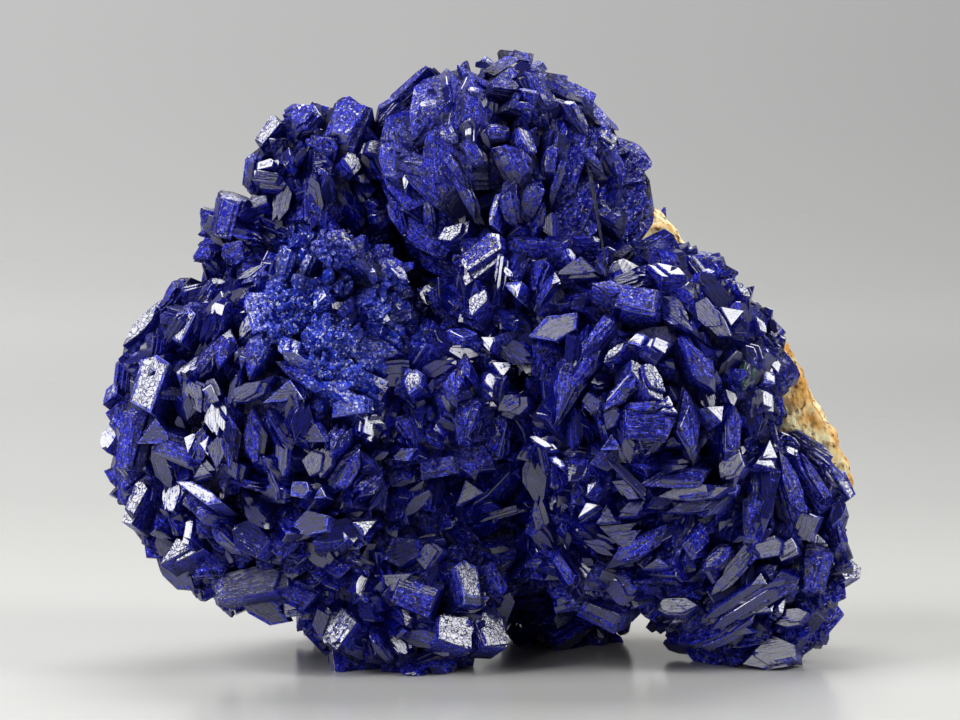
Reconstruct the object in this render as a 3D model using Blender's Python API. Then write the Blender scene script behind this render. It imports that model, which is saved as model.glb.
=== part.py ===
"""An azurite specimen: ball-shaped rosettes of bladed crystals, grown together on limonite rock.

The finished objects are in metres, with +Z up and the show side facing -Y. The origin is on the
resting surface, under the middle of the specimen. The driving dimensions below are in
millimetres, and so is the model until its two objects are done.
"""

import math
import random

import bmesh
import bpy
from mathutils import Matrix, Vector

MM = 0.001
SEED = 14

# One rosette a row: its centre, its half-sizes out to the crystal tips, the pole that its
# crystals are ranged about, the way they are ranged, their usual length and their number.
# "rings" run round the pole like rose petals, and a "fan" runs towards it.
ROSETTES = {
    "left": ((-13.3, -3.1, 16.6), (14.1, 13.0, 14.2), (0.1, -1.0, 0.1), "rings", 5.4, 88),
    "lower_left": ((-5.1, -6.6, 4.8), (8.4, 6.4, 6.9), (0.2, -1.0, 0.4), "rings", 4.6, 24),
    "centre_left": ((-1.9, -9.2, 19.6), (5.6, 5.0, 6.2), (0.2, -1.0, 0.0), "rings", 4.0, 15),
    "bruised": ((-10.2, -7.6, 26.6), (6.6, 6.0, 6.0), (-0.3, -1.0, 0.5), "rings", 3.8, 16),
    "upper_left": ((-10.8, -0.6, 34.5), (6.4, 6.0, 7.0), (-0.5, -0.4, 1.0), "fan", 4.8, 22),
    "left_shoulder": ((-16.6, -1.1, 30.4), (4.6, 4.4, 4.8), (-1.0, -0.3, 0.3), "fan", 4.0, 12),
    "top": ((1.5, -1.6, 36.0), (9.6, 8.6, 8.8), (0.1, -0.7, -0.7), "fan", 5.2, 40),
    "top_right": ((8.1, 0.4, 33.8), (5.5, 6.0, 5.8), (0.0, -0.6, -0.8), "fan", 4.4, 16),
    "bridge": ((4.0, -6.6, 26.6), (7.6, 6.0, 6.6), (0.6, -1.0, 0.2), "rings", 4.2, 22),
    "right": ((12.3, -4.6, 19.8), (11.3, 11.2, 12.2), (-0.1, -1.0, 0.0), "rings", 5.2, 64),
    "lower_right": ((19.6, -3.1, 8.2), (8.6, 8.6, 9.8), (-0.6, -1.0, 0.6), "rings", 5.2, 34),
    "lower_middle": ((10.8, -6.1, 9.4), (7.8, 6.8, 7.2), (0.2, -1.0, 0.5), "rings", 4.8, 22),
    "centre_foot": ((6.5, 5.4, 4.6), (6.6, 6.2, 6.7), (0.0, 0.6, 1.0), "rings", 4.4, 14),
    "back_foot": ((-7.7, 5.9, 5.6), (7.2, 6.8, 7.8), (-0.2, 1.0, 0.2), "rings", 4.8, 18),
    "back_left": ((-11.2, 6.9, 20.0), (10.4, 8.8, 10.6), (-0.3, 1.0, 0.2), "rings", 5.4, 38),
    "back_top": ((-3.2, 6.4, 31.0), (8.4, 7.6, 8.0), (0.1, 1.0, 0.5), "fan", 5.2, 24),
    "heart": ((0.8, -0.6, 16.5), (10.0, 8.5, 13.0), (0.0, -1.0, 0.0), "rings", 4.8, 20),
}
BODY_INSET = 2.1  # a rosette's body ends this far inside its crystal tips
BODY_BUMP = 0.6  # how far a body's corners stand up or lie deep
BLADE_ROOT = 1.0  # how deep a crystal is set in the body
BLADE_REACH = (0.75, 1.2)  # how far it stands out of the body, as a share of the inset
BLADE_THICKNESS = (0.40, 0.62)  # a share of the crystal's length
BLADE_TAPER = 0.5  # its outer edge's length, as a share of its foot's
BLADE_END = (0.35, 0.6)  # its end face's thickness, as a share of its foot's
BLADE_SLANT = 0.3  # the steepest that its end slopes
BLADE_SHIFT = 0.4  # how far its end moves along it, as a share of half its length
KNIFE_SHARE = 0.5  # the share of crystals that end in an edge and not in a face
BLADE_LEAN = (0.2, 0.25)  # mean and spread of a crystal's lean to the side
BLADE_SPIN = 0.35  # spread of its turn out of its row, in radians
BLADE_SCATTER = 0.07  # spread of its place, as a share of the rosette's radius
BLADE_LENGTHS = (0.75, 1.25)  # shares of the rosette's usual length
HIDDEN_DEPTH = -1.1  # no crystal stands deeper than this in another rosette's body
FACE_SHARE = 0.66  # the share of the faces kept, once the slivers between crystals are merged

# The rock is a rounded mass that broke along flat faces, each given by its normal and its
# distance from the mass's centre.
ROCK_CENTRE = (11.8, 7.9, 18.5)
ROCK_RADII = (19.0, 8.0, 16.5)
ROCK_BREAKS = (
    ((0.745, 0.0, 0.667), 10.5),
    ((0.892, 0.0, 0.452), 12.0),
    ((0.05, 1.0, 0.1), 7.3),
    ((-0.35, 0.9, 0.5), 8.0),
    ((0.45, 0.85, -0.35), 9.2),
    ((-0.2, 0.8, -0.6), 9.0),
    ((0.5, 0.75, 0.5), 10.6),
    ((-1.0, 0.2, 0.3), 13.0),
    ((0.1, 0.1, -1.0), 13.2),
    ((0.2, 0.3, 1.0), 13.6),
)
ROCK_CHIPS = 72  # smaller breaks all round
ROCK_CHIP_DEPTH = (0.02, 0.22)  # shares of the mass's own half-size there
SEAT_GAP = 0.3  # between the rock and the crystals

AZURITE_BLUE = (0.012, 0.016, 0.28, 1.0)
AZURITE_ROUGHNESS = 0.15
LIMONITE_YELLOW = (0.62, 0.40, 0.13, 1.0)
LIMONITE_ROUGHNESS = 0.9


def clear_scene():
    for obj in list(bpy.data.objects):
        bpy.data.objects.remove(obj)


def mesh_object(name, bm, collection):
    mesh = bpy.data.meshes.new(name)
    bm.to_mesh(mesh)
    bm.free()
    obj = bpy.data.objects.new(name, mesh)
    collection.objects.link(obj)
    return obj


def principled(name, colour, roughness):
    material = bpy.data.materials.new(name)
    material.use_nodes = True
    shader = material.node_tree.nodes["Principled BSDF"]
    shader.inputs["Base Color"].default_value = colour
    shader.inputs["Roughness"].default_value = roughness
    shader.inputs["Metallic"].default_value = 0.0
    return material


def even_directions(count):
    """Unit vectors spread evenly along a spiral from pole to pole."""
    golden_angle = math.pi * (3 - math.sqrt(5))
    for i in range(count):
        height = 1 - 2 * (i + 0.5) / count
        ring = math.sqrt(1 - height * height)
        turn = golden_angle * i
        yield Vector((ring * math.cos(turn), ring * math.sin(turn), height))


def is_hidden(point, own_name):
    """Whether a place on one rosette's body is taken up by another rosette."""
    for name, (centre, radii, *_) in ROSETTES.items():
        deep = [radius - BODY_INSET - HIDDEN_DEPTH for radius in radii]
        away = sum(((point[k] - centre[k]) / deep[k]) ** 2 for k in range(3))
        if name != own_name and away < 1:
            return True
    return False


def add_body(bm, centre, radii, rng):
    """A rosette's body: a ball of flat facets with its corners raised or lowered."""
    ball = bmesh.ops.create_icosphere(bm, subdivisions=2, radius=1.0)["verts"]
    for v in ball:
        inset = BODY_INSET + BODY_BUMP * rng.uniform(-1, 1)
        v.co = Vector([centre[k] + v.co[k] * (radii[k] - inset) for k in range(3)])


def add_blade(bm, foot, out, along, length, rng):
    """A tabular crystal standing on edge: a tapered plate with a slanting end or a knife edge."""
    across = out.cross(along).normalized()
    half_thickness = length * rng.uniform(*BLADE_THICKNESS) / 2
    half_length = length / 2
    reach = BODY_INSET * rng.uniform(*BLADE_REACH)
    shift = rng.uniform(-BLADE_SHIFT, BLADE_SHIFT) * half_length
    slant = rng.uniform(-BLADE_SLANT, BLADE_SLANT)
    end = 0.0 if rng.random() < KNIFE_SHARE else rng.uniform(*BLADE_END)
    corners = bmesh.ops.create_cube(bm, size=2.0)["verts"]
    for v in corners:
        x, y, z = v.co
        if z > 0:
            x = shift + x * half_length * BLADE_TAPER
            y = y * half_thickness * end
            z = reach + slant * x
        else:
            x = x * half_length
            y = y * half_thickness
            z = -BLADE_ROOT
        v.co = foot + along * x + across * y + out * z
    if end == 0.0:
        bmesh.ops.remove_doubles(bm, verts=corners, dist=0.001)


def add_blades(bm, name, rng):
    """A rosette's crystals, spread evenly over it and ranged in rings or a fan."""
    centre, radii, pole, pattern, usual_length, count = ROSETTES[name]
    pole = Vector(pole).normalized()
    for even in even_directions(count):
        scatter = Vector([rng.gauss(0, BLADE_SCATTER) for _ in range(3)])
        direction = (even + scatter).normalized()
        length = usual_length * rng.uniform(*BLADE_LENGTHS)
        spin = rng.gauss(0, BLADE_SPIN)
        lean = rng.gauss(*BLADE_LEAN)
        foot = Vector([centre[k] + direction[k] * (radii[k] - BODY_INSET) for k in range(3)])
        if is_hidden(foot, name) or foot.z < 0:
            continue
        normal = Vector([direction[k] / radii[k] for k in range(3)]).normalized()
        around = pole.cross(normal).normalized()
        along = around if pattern == "rings" else normal.cross(around)
        along = Matrix.Rotation(spin, 3, normal) @ along
        out = (normal + lean * normal.cross(along)).normalized()
        add_blade(bm, foot, out, along, length, rng)


def rock_breaks():
    """The normal and the distance of each flat break, the large ones and then the chips."""
    breaks = [(Vector(normal).normalized(), distance) for normal, distance in ROCK_BREAKS]
    rng = random.Random(SEED)
    for normal in even_directions(ROCK_CHIPS):
        half_size = Vector([normal[k] * ROCK_RADII[k] for k in range(3)]).length
        breaks.append((normal, half_size * (1 - rng.uniform(*ROCK_CHIP_DEPTH))))
    return breaks


def rock_mesh(gap):
    """The rock, or with a gap above 0 the slightly larger seat that the crystals leave for it."""
    bm = bmesh.new()
    lump = bmesh.ops.create_icosphere(bm, subdivisions=4, radius=1.0)["verts"]
    for v in lump:
        v.co = Vector([v.co[k] * (ROCK_RADII[k] + gap) for k in range(3)])
    for normal, distance in rock_breaks():
        cut = bmesh.ops.bisect_plane(
            bm,
            geom=bm.verts[:] + bm.edges[:] + bm.faces[:],
            plane_co=normal * (distance + gap),
            plane_no=normal,
            clear_outer=True,
        )
        rim = [e for e in cut["geom_cut"] if isinstance(e, bmesh.types.BMEdge)]
        bmesh.ops.contextual_create(bm, geom=rim)
    bm.transform(Matrix.Translation(ROCK_CENTRE))
    return bm


def add_union(obj, others):
    """Joins the other object's crystals, which also overlap each other, to this one."""
    modifier = obj.modifiers.new("Join", "BOOLEAN")
    modifier.operation = "UNION"
    modifier.solver = "EXACT"
    modifier.use_self = True
    modifier.object = others


def add_cut(obj, cutter):
    """Cuts a closed mesh whose crystals meet at edges that are too fine for the exact solver."""
    modifier = obj.modifiers.new("Cut", "BOOLEAN")
    modifier.operation = "DIFFERENCE"
    modifier.solver = "MANIFOLD"
    modifier.object = cutter


def add_face_merge(obj):
    modifier = obj.modifiers.new("Merge slivers", "DECIMATE")
    modifier.ratio = FACE_SHARE


def apply_modifiers(obj):
    graph = bpy.context.evaluated_depsgraph_get()
    mesh = bpy.data.meshes.new_from_object(obj.evaluated_get(graph))
    obj.modifiers.clear()
    obj.data = mesh


def fill_pockets(obj):
    """Deletes every shell but the outer one, so a pocket that crystals closed off is solid."""
    bm = bmesh.new()
    bm.from_mesh(obj.data)
    unseen = set(bm.verts)
    shells = []
    while unseen:
        shell = [unseen.pop()]
        for v in shell:
            fresh = [e.other_vert(v) for e in v.link_edges if e.other_vert(v) in unseen]
            unseen.difference_update(fresh)
            shell.extend(fresh)
        shells.append(shell)
    outer = max(shells, key=len)
    inner = [v for shell in shells if shell is not outer for v in shell]
    bmesh.ops.delete(bm, geom=inner, context="VERTS")
    bm.to_mesh(obj.data)
    bm.free()


def model_azurite(collection, rng):
    """All the rosettes as one solid, with the rock's seat and the resting faces cut into it."""
    bm = bmesh.new()
    for centre, radii, *_ in ROSETTES.values():
        add_body(bm, centre, radii, rng)
    azurite = mesh_object("azurite_rosettes", bm, collection)
    bm = bmesh.new()
    for name in ROSETTES:
        add_blades(bm, name, rng)
    blades = mesh_object("blades", bm, collection)
    seat = mesh_object("rock_seat", rock_mesh(SEAT_GAP), collection)
    bm = bmesh.new()
    bmesh.ops.create_cube(bm, size=100.0, matrix=Matrix.Translation((0, 0, -50.0)))
    ground = mesh_object("ground", bm, collection)

    add_union(azurite, blades)
    add_cut(azurite, seat)
    apply_modifiers(azurite)
    fill_pockets(azurite)
    add_face_merge(azurite)
    add_cut(azurite, ground)
    apply_modifiers(azurite)
    for helper in (blades, seat, ground):
        bpy.data.objects.remove(helper)
    azurite.data.materials.clear()
    azurite.data.materials.append(principled("azurite", AZURITE_BLUE, AZURITE_ROUGHNESS))
    return azurite


def model_rock(collection):
    rock = mesh_object("limonite_rock", rock_mesh(0.0), collection)
    rock.data.materials.append(principled("limonite", LIMONITE_YELLOW, LIMONITE_ROUGHNESS))
    return rock


def main():
    clear_scene()
    specimen = bpy.data.collections.new("azurite_specimen")
    bpy.context.scene.collection.children.link(specimen)
    azurite = model_azurite(specimen, random.Random(SEED))
    rock = model_rock(specimen)
    for obj in (azurite, rock):
        obj.data.transform(Matrix.Scale(MM, 4))


main()
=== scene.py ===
"""The looks of an azurite specimen: rosettes of bladed azurite crystals, grown on limonite rock.

Sizes and places are in millimetres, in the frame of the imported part: +Z is up, the show side
faces -Y and the origin is on the resting surface. They are turned to metres where they are used.
"""

import math
import random
from functools import partial

import bpy
import numpy as np
from mathutils import Matrix, Vector


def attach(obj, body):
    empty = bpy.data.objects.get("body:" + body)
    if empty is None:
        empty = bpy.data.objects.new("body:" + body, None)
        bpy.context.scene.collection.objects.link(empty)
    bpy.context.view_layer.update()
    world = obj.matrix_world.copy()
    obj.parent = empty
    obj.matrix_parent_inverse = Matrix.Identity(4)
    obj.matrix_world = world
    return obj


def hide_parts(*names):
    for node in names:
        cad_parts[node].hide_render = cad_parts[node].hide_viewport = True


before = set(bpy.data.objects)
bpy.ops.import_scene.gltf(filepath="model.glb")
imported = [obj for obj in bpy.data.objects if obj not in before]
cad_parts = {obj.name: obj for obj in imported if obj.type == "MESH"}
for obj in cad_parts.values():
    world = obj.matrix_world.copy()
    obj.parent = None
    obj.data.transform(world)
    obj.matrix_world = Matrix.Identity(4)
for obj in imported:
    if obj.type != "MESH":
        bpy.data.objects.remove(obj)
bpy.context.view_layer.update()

MM = 0.001
SEED = 5

# ------------------------------------------------------------------------------ the view

SIGHT = (0.3, -1.6, 22.0)  # what the camera looks at
CAMERA_DISTANCE = 350.0
CAMERA_ELEVATION = 5.0  # degrees


def camera_place():
    up = math.radians(CAMERA_ELEVATION)
    back = Vector((0.0, -math.cos(up), math.sin(up)))
    return Vector(SIGHT) + back * CAMERA_DISTANCE


# ------------------------------------------------------------------------------ the rosettes

# One rosette a row: its centre, its half-sizes out to the crystal tips, the pole that its
# crystals are ranged about, and the way they are ranged. "rings" run round the pole like rose
# petals, and a "fan" runs towards it.
ROSETTES = {
    "left": ((-13.3, -3.1, 16.6), (14.1, 13.0, 14.2), (0.15, -1.0, 0.15), "rings"),
    "lower_left": ((-5.1, -6.6, 4.8), (8.4, 6.4, 6.9), (0.2, -1.0, 0.5), "rings"),
    "centre_left": ((-1.9, -9.2, 19.6), (5.6, 5.0, 6.2), (0.2, -1.0, 0.0), "rings"),
    "bruised": ((-10.2, -7.6, 26.6), (6.6, 6.0, 6.0), (-0.3, -1.0, 0.5), "rings"),
    "upper_left": ((-10.8, -0.6, 34.5), (6.4, 6.0, 7.0), (-0.5, -0.4, 1.0), "fan"),
    "left_shoulder": ((-16.6, -1.1, 30.4), (4.6, 4.4, 4.8), (-1.0, -0.3, 0.3), "fan"),
    "top": ((1.5, -1.6, 36.0), (9.6, 8.6, 8.8), (0.1, -0.8, -0.9), "fan"),
    "top_right": ((8.1, 0.4, 33.8), (5.5, 6.0, 5.8), (0.0, -0.6, -0.8), "fan"),
    "bridge": ((4.0, -6.6, 26.6), (7.6, 6.0, 6.6), (0.6, -1.0, 0.2), "rings"),
    "right": ((12.3, -4.6, 19.8), (11.3, 11.2, 12.2), (-0.05, -1.0, -0.05), "rings"),
    "lower_right": ((19.6, -3.1, 8.2), (8.6, 8.6, 9.8), (-0.8, -1.0, 0.8), "rings"),
    "lower_middle": ((10.8, -6.1, 9.4), (7.8, 6.8, 7.2), (0.2, -1.0, 0.6), "rings"),
    "centre_foot": ((6.5, 5.4, 4.6), (6.6, 6.2, 6.7), (0.0, 0.6, 1.0), "rings"),
    "back_foot": ((-7.7, 5.9, 5.6), (7.2, 6.8, 7.8), (-0.2, 1.0, 0.2), "rings"),
    "back_left": ((-11.2, 6.9, 20.0), (10.4, 8.8, 10.6), (-0.3, 1.0, 0.2), "rings"),
    "back_top": ((-3.2, 6.4, 31.0), (8.4, 7.6, 8.0), (0.1, 1.0, 0.5), "fan"),
    "heart": ((0.8, -0.6, 16.5), (10.0, 8.5, 13.0), (0.0, -1.0, 0.0), "rings"),
}
CORE_INSET = 2.9  # a rosette's core ends this far inside its crystal tips
CORE_DROP = 0.3  # a core ends this far below the feet of the crystals
HIDDEN = 1.6  # a crystal whose foot lies this deep in another rosette is left out

# The kinds of crystal. Each row gives the ranges of its length along the row, its thickness,
# its height above the foot, its number of parallel plates, the slope of its main facet, where
# its outline starts to narrow (a share of its length) and its bend along the length.
CRYSTALS = {
    "wedge": ((2.2, 3.3), (0.7, 1.2), (2.5, 3.3), (2, 3), (24, 50), (0.02, 0.22), (0, 0)),
    "blade": ((2.8, 4.2), (0.7, 1.0), (2.5, 3.4), (2, 3), (22, 48), (0.12, 0.34), (0, 0)),
    "leaf": ((4.0, 5.8), (0.7, 1.1), (2.8, 3.6), (2, 3), (35, 60), (0.10, 0.30), (14, 34)),
    "petal": ((4.6, 7.2), (0.5, 0.8), (2.8, 3.6), (2, 4), (0, 0), (0.25, 0.42), (6, 24)),
    "plates": ((2.4, 4.0), (0.25, 0.4), (2.4, 3.4), (3, 5), (15, 45), (0.20, 0.42), (0, 0)),
    "small": ((1.1, 1.9), (0.5, 0.8), (1.2, 2.0), (1, 1), (25, 55), (0.05, 0.3), (0, 0)),
}
VARIANTS = {"wedge": 14, "blade": 12, "leaf": 10, "petal": 10, "plates": 10, "small": 10}
BEVELLED = {"wedge", "blade", "leaf", "petal", "plates"}
ROOT = 1.4  # how deep a crystal's foot is set in the rosette
EDGE_WIDTH = 0.09  # of the worn edges of a crystal
SHORTEST_EDGE = 0.06  # shorter ones are merged away before a crystal's edges are worn
FACE_SLOT = 0
EDGE_SLOT = 1  # marks the faces along a crystal's worn edges
RIM_SLOT = 2  # marks the frosted margin inside the edges of a face
RIM_WIDTH = 0.26

# How the crystals of a kind differ: ranges that are drawn from, as shares of a crystal's length,
# thickness or height unless a comment gives a unit.
END_PLACE = 0.49  # where along its length an end comes to its point
END_SIDESTEP = (-0.3, 0.3)
FACET_STRAY = 0.5  # radians that the large facets stray from facing along the crystal
MAIN_FACET_HEIGHT = (0.62, 0.8)
BACK_FACET_SLOPE = (40, 70)  # degrees
CREST_PLACE = (0.05, 0.25)
CREST_SKEW = 0.3
SMALL_FACET_CHANCE = 0.6
SMALL_FACET_SIDE = (0.1, 0.35)
SMALL_FACET_HEIGHT = (0.85, 1.0)
SMALL_FACET_SLOPE = (50, 75)  # degrees
SMALL_FACET_STRAY = 0.3  # radians
ARCH_RADIUS = (4.5, 7.0)  # millimetres
ARCH_SLIDE = (-0.6, 0.6)  # millimetres
ARCH_SLOPES = (-60, -36, -12, 12, 36, 60)  # degrees
ARCH_WOBBLE = (-4, 4)  # degrees
PLATE_ORDER = (0, 1, -1, 2, -2)  # plates are set on both sides of the first in turn
PLATE_STEP = (0.42, 0.62)
PLATE_SLIDE = (-0.12, 0.12)
PLATE_DROP = (0.12, 0.45)  # millimetres
PLATE_LENGTH = (0.6, 0.92)
PLATE_THICKNESS = (0.6, 0.9)
BEND_CUTS = (-0.3, -0.15, 0.0, 0.15, 0.3)  # where a crystal is cut across so that it can bend


def uniform(rng, limits):
    return rng.uniform(*limits)


def scatter(rng, spread):
    """A small vector that points any way."""
    return Vector([rng.gauss(0, spread) for _ in range(3)])


def bare_scene():
    """Nothing selected, so that the next operator only reaches what it adds."""
    if bpy.context.object and bpy.context.object.mode != "OBJECT":
        bpy.ops.object.mode_set(mode="OBJECT")
    bpy.ops.object.select_all(action="DESELECT")


def cut_along(cuts):
    """Cuts away what lies past each plane and closes the cut, on the mesh in edit mode."""
    for place, normal in cuts:
        bpy.ops.mesh.select_all(action="SELECT")
        bpy.ops.mesh.bisect(plane_co=place, plane_no=normal, use_fill=True, clear_outer=True)


def cut_block(size, centre, cuts, shortest_edge):
    """A block cut along planes; with a shortest edge given, its edges are also worn."""
    bpy.ops.mesh.primitive_cube_add(size=1.0, location=centre, scale=size)
    bpy.ops.object.transform_apply(location=True, rotation=True, scale=True)
    cut = bpy.context.object
    for _ in (FACE_SLOT, EDGE_SLOT, RIM_SLOT):
        cut.data.materials.append(None)
    bpy.ops.object.mode_set(mode="EDIT")
    cut_along(cuts)
    if shortest_edge:
        bpy.ops.mesh.select_all(action="SELECT")
        bpy.ops.mesh.remove_doubles(threshold=shortest_edge)
        bpy.ops.mesh.bevel(offset=EDGE_WIDTH / 2, segments=1, affect="EDGES", material=EDGE_SLOT)
    bpy.ops.object.mode_set(mode="OBJECT")
    return cut


def join_all(parts):
    bpy.ops.object.select_all(action="DESELECT")
    for part in parts:
        part.select_set(True)
    bpy.context.view_layer.objects.active = parts[0]
    if len(parts) > 1:
        bpy.ops.object.join()
    return bpy.context.object


def upright_cuts(rng, length, thickness, narrowing):
    """The four upright planes that narrow a crystal's outline towards its two ends."""
    cuts = []
    for end in (-1, 1):
        tip = Vector((end * length * END_PLACE, uniform(rng, END_SIDESTEP) * thickness, 0))
        for side in (-1, 1):
            start = uniform(rng, narrowing) * length
            shoulder = Vector((end * start, side * thickness / 2, 0))
            run = tip - shoulder
            normal = Vector((abs(run.y) * end, abs(run.x) * side, 0)).normalized()
            cuts.append((shoulder, normal))
    return cuts


def slanting(slope, azimuth):
    """The normal of a plane that slopes by so many degrees, down towards the azimuth."""
    slope = math.radians(slope)
    level = math.sin(slope)
    return Vector((level * math.cos(azimuth), level * math.sin(azimuth), math.cos(slope)))


def roof_cuts(rng, length, thickness, height, slopes):
    """The main facet across a crystal's top, the facet that meets it and up to two smaller."""
    heading = rng.choice((0, math.pi)) + rng.gauss(0, FACET_STRAY)
    slope = uniform(rng, slopes)
    middle = Vector((0, 0, height * uniform(rng, MAIN_FACET_HEIGHT)))
    cuts = [(middle, slanting(slope, heading))]
    back = heading + math.pi + rng.gauss(0, FACET_STRAY)
    crest = Vector((-math.cos(heading), -math.sin(heading) * CREST_SKEW, 0))
    crest = crest * length * uniform(rng, CREST_PLACE)
    cuts.append((crest + Vector((0, 0, height)), slanting(uniform(rng, BACK_FACET_SLOPE), back)))
    for side in (-1, 1):
        if rng.random() < SMALL_FACET_CHANCE:
            aside = side * thickness * uniform(rng, SMALL_FACET_SIDE)
            place = Vector((0, aside, height * uniform(rng, SMALL_FACET_HEIGHT)))
            slope = uniform(rng, SMALL_FACET_SLOPE)
            way = side * math.pi / 2 + rng.gauss(0, SMALL_FACET_STRAY)
            cuts.append((place, slanting(slope, way)))
    return cuts


def arched_roof(rng, height):
    """The planes that round a petal's outer edge to the curve of its rosette."""
    radius = uniform(rng, ARCH_RADIUS)
    centre = Vector((uniform(rng, ARCH_SLIDE), 0, height - radius))
    for slope in ARCH_SLOPES:
        normal = slanting(slope + uniform(rng, ARCH_WOBBLE), 0.0)
        yield centre + normal * radius, normal


def moved(cuts, shift):
    """The same cuts, all moved by the shift."""
    return [(place + shift, normal) for place, normal in cuts]


def bend_crystal(crystal, length, degrees):
    """Curves a crystal along its length, as petals are."""
    bpy.ops.object.mode_set(mode="EDIT")
    for share in BEND_CUTS:
        bpy.ops.mesh.select_all(action="SELECT")
        bpy.ops.mesh.bisect(plane_co=(share * length, 0, 0), plane_no=(1, 0, 0))
    bpy.ops.object.mode_set(mode="OBJECT")
    modifier = crystal.modifiers.new("Bend", "SIMPLE_DEFORM")
    modifier.deform_method = "BEND"
    modifier.deform_axis = "Z"
    modifier.angle = math.radians(degrees)
    bpy.ops.object.modifier_apply(modifier=modifier.name)


def model_crystal(rng, kind):
    """A crystal of that kind: plates that grew side by side, so their facets are parallel."""
    lengths, thicknesses, heights, counts, slopes, narrowing, bends = CRYSTALS[kind]
    bare_scene()
    length, thickness = uniform(rng, lengths), uniform(rng, thicknesses)
    height = uniform(rng, heights)
    if kind == "petal":
        roof = list(arched_roof(rng, height))
    else:
        roof = roof_cuts(rng, length, thickness, height, slopes)
    plates = []
    for i in range(rng.randint(*counts)):
        first = i == 0
        own_length = length * (1.0 if first else uniform(rng, PLATE_LENGTH))
        offset = PLATE_ORDER[i] * thickness * uniform(rng, PLATE_STEP)
        shift = Vector((uniform(rng, PLATE_SLIDE) * length * (not first), offset, 0))
        drop = Vector((0, 0, 0 if first else -uniform(rng, PLATE_DROP)))
        own_thickness = thickness * (1.0 if first else uniform(rng, PLATE_THICKNESS))
        cuts = moved(upright_cuts(rng, own_length, own_thickness, narrowing), shift)
        cuts += moved(roof, shift + drop)
        size = (own_length, own_thickness, height + ROOT)
        centre = shift + Vector((0, 0, (height - ROOT) / 2))
        worn = first and kind in BEVELLED
        plates.append(cut_block(size, centre, cuts, SHORTEST_EDGE if worn else 0.0))
    crystal = join_all(plates)
    if bends[1]:
        bend_crystal(crystal, length, uniform(rng, bends) * rng.choice((-1, 1)))
    return crystal


UPTURNED = 0.3  # faces that look up more than this are a crystal's ends
END_FROST, SIDE_FROST = 0.15, 0.85  # the ends are mostly mirror-like and the sides mostly frosted
FLAT = 0.7  # a face that looks along an axis more than this has its grain laid along the others


class Shape:
    """A modelled crystal's mesh as arrays, ready to be copied, and the finish of its faces."""

    def __init__(self, obj):
        mesh = obj.data
        faces = mesh.polygons
        self.points = np.array([v.co[:] for v in mesh.vertices])
        self.corners = np.array([i for f in faces for i in f.vertices])
        self.counts = np.array([len(f.vertices) for f in faces])
        normals = np.array([f.normal[:] for f in faces])
        slots = np.array([f.material_index for f in faces])
        self.edge = (slots == EDGE_SLOT).astype(float)
        on_edge = np.zeros(len(self.points))
        on_edge[self.corners[np.repeat(self.edge > 0, self.counts)]] = 1.0
        self.rim = on_edge[self.corners] * np.repeat(slots == RIM_SLOT, self.counts)
        self.slope = normals[:, 2]
        self.frost = np.where(self.slope > UPTURNED, END_FROST, SIDE_FROST)
        corner_points = self.points[self.corners]
        owners = np.repeat(np.arange(len(self.counts)), self.counts)
        flat = np.abs(normals[owners])
        along = np.where(flat[:, 0] > FLAT, corner_points[:, 1], corner_points[:, 0])
        up = np.where(flat[:, 2] > FLAT, corner_points[:, 1], corner_points[:, 2])
        self.grain = np.stack([along, up], axis=1)
        bpy.data.objects.remove(obj)


# What a crystal's mesh keeps for its finish, and on what: whether a face is a worn edge, how
# frosted it is, how bruised a point is, how far it is painted lit rather than shaded (tip; on
# copied crystals, how high up its crystal it is), and how near the rim a corner is.
ATTRIBUTES = {"edge": "FACE", "frost": "FACE", "bruise": "POINT", "tip": "POINT", "rim": "CORNER"}
FROST_SPREAD = 0.2  # how much the faces of one kind differ in their frosting
GRAIN_SHIFTS = (37.0, 91.0)  # each copy shows another part of the patterns within this reach
FLOOR_CLEARANCE = 0.02  # the lowest crystals end this far above the surface
# Where crystals are bruised to a pale powder, as they show on the upright plane through the
# point that the camera looks at: X, Z, radius and how badly.
BRUISES = (
    (-13.8, 25.6, 2.6, 1.0),
    (-10.9, 23.2, 2.2, 1.0),
    (-9.8, 20.9, 2.8, 0.8),
    (-12.4, 29.0, 2.6, 0.45),
    (-9.6, 28.6, 2.6, 0.35),
    (-6.4, 26.8, 2.4, 0.4),
    (-5.6, 24.4, 2.2, 0.3),
    (-15.0, 23.6, 1.8, 0.5),
)
BRUISE_CORE, BRUISE_FADE = 1.6, 1.2  # how strong a bruise is at its middle, and its loss per radius


def bruising(points):
    """How bruised the crystals are at these points: 1 is all powder."""
    eye = camera_place()
    share = (SIGHT[1] - eye.y) / (points[:, 1] - eye.y)
    shown = np.array(eye) + (points - np.array(eye)) * share[:, None]
    bruised = np.zeros(len(points))
    for x, z, radius, amount in BRUISES:
        away = np.hypot(shown[:, 0] - x, shown[:, 2] - z) / radius
        bruised = np.maximum(bruised, amount * np.clip(BRUISE_CORE - BRUISE_FADE * away, 0, 1))
    return np.where(points[:, 1] < SIGHT[1], bruised, 0.0)


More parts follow.
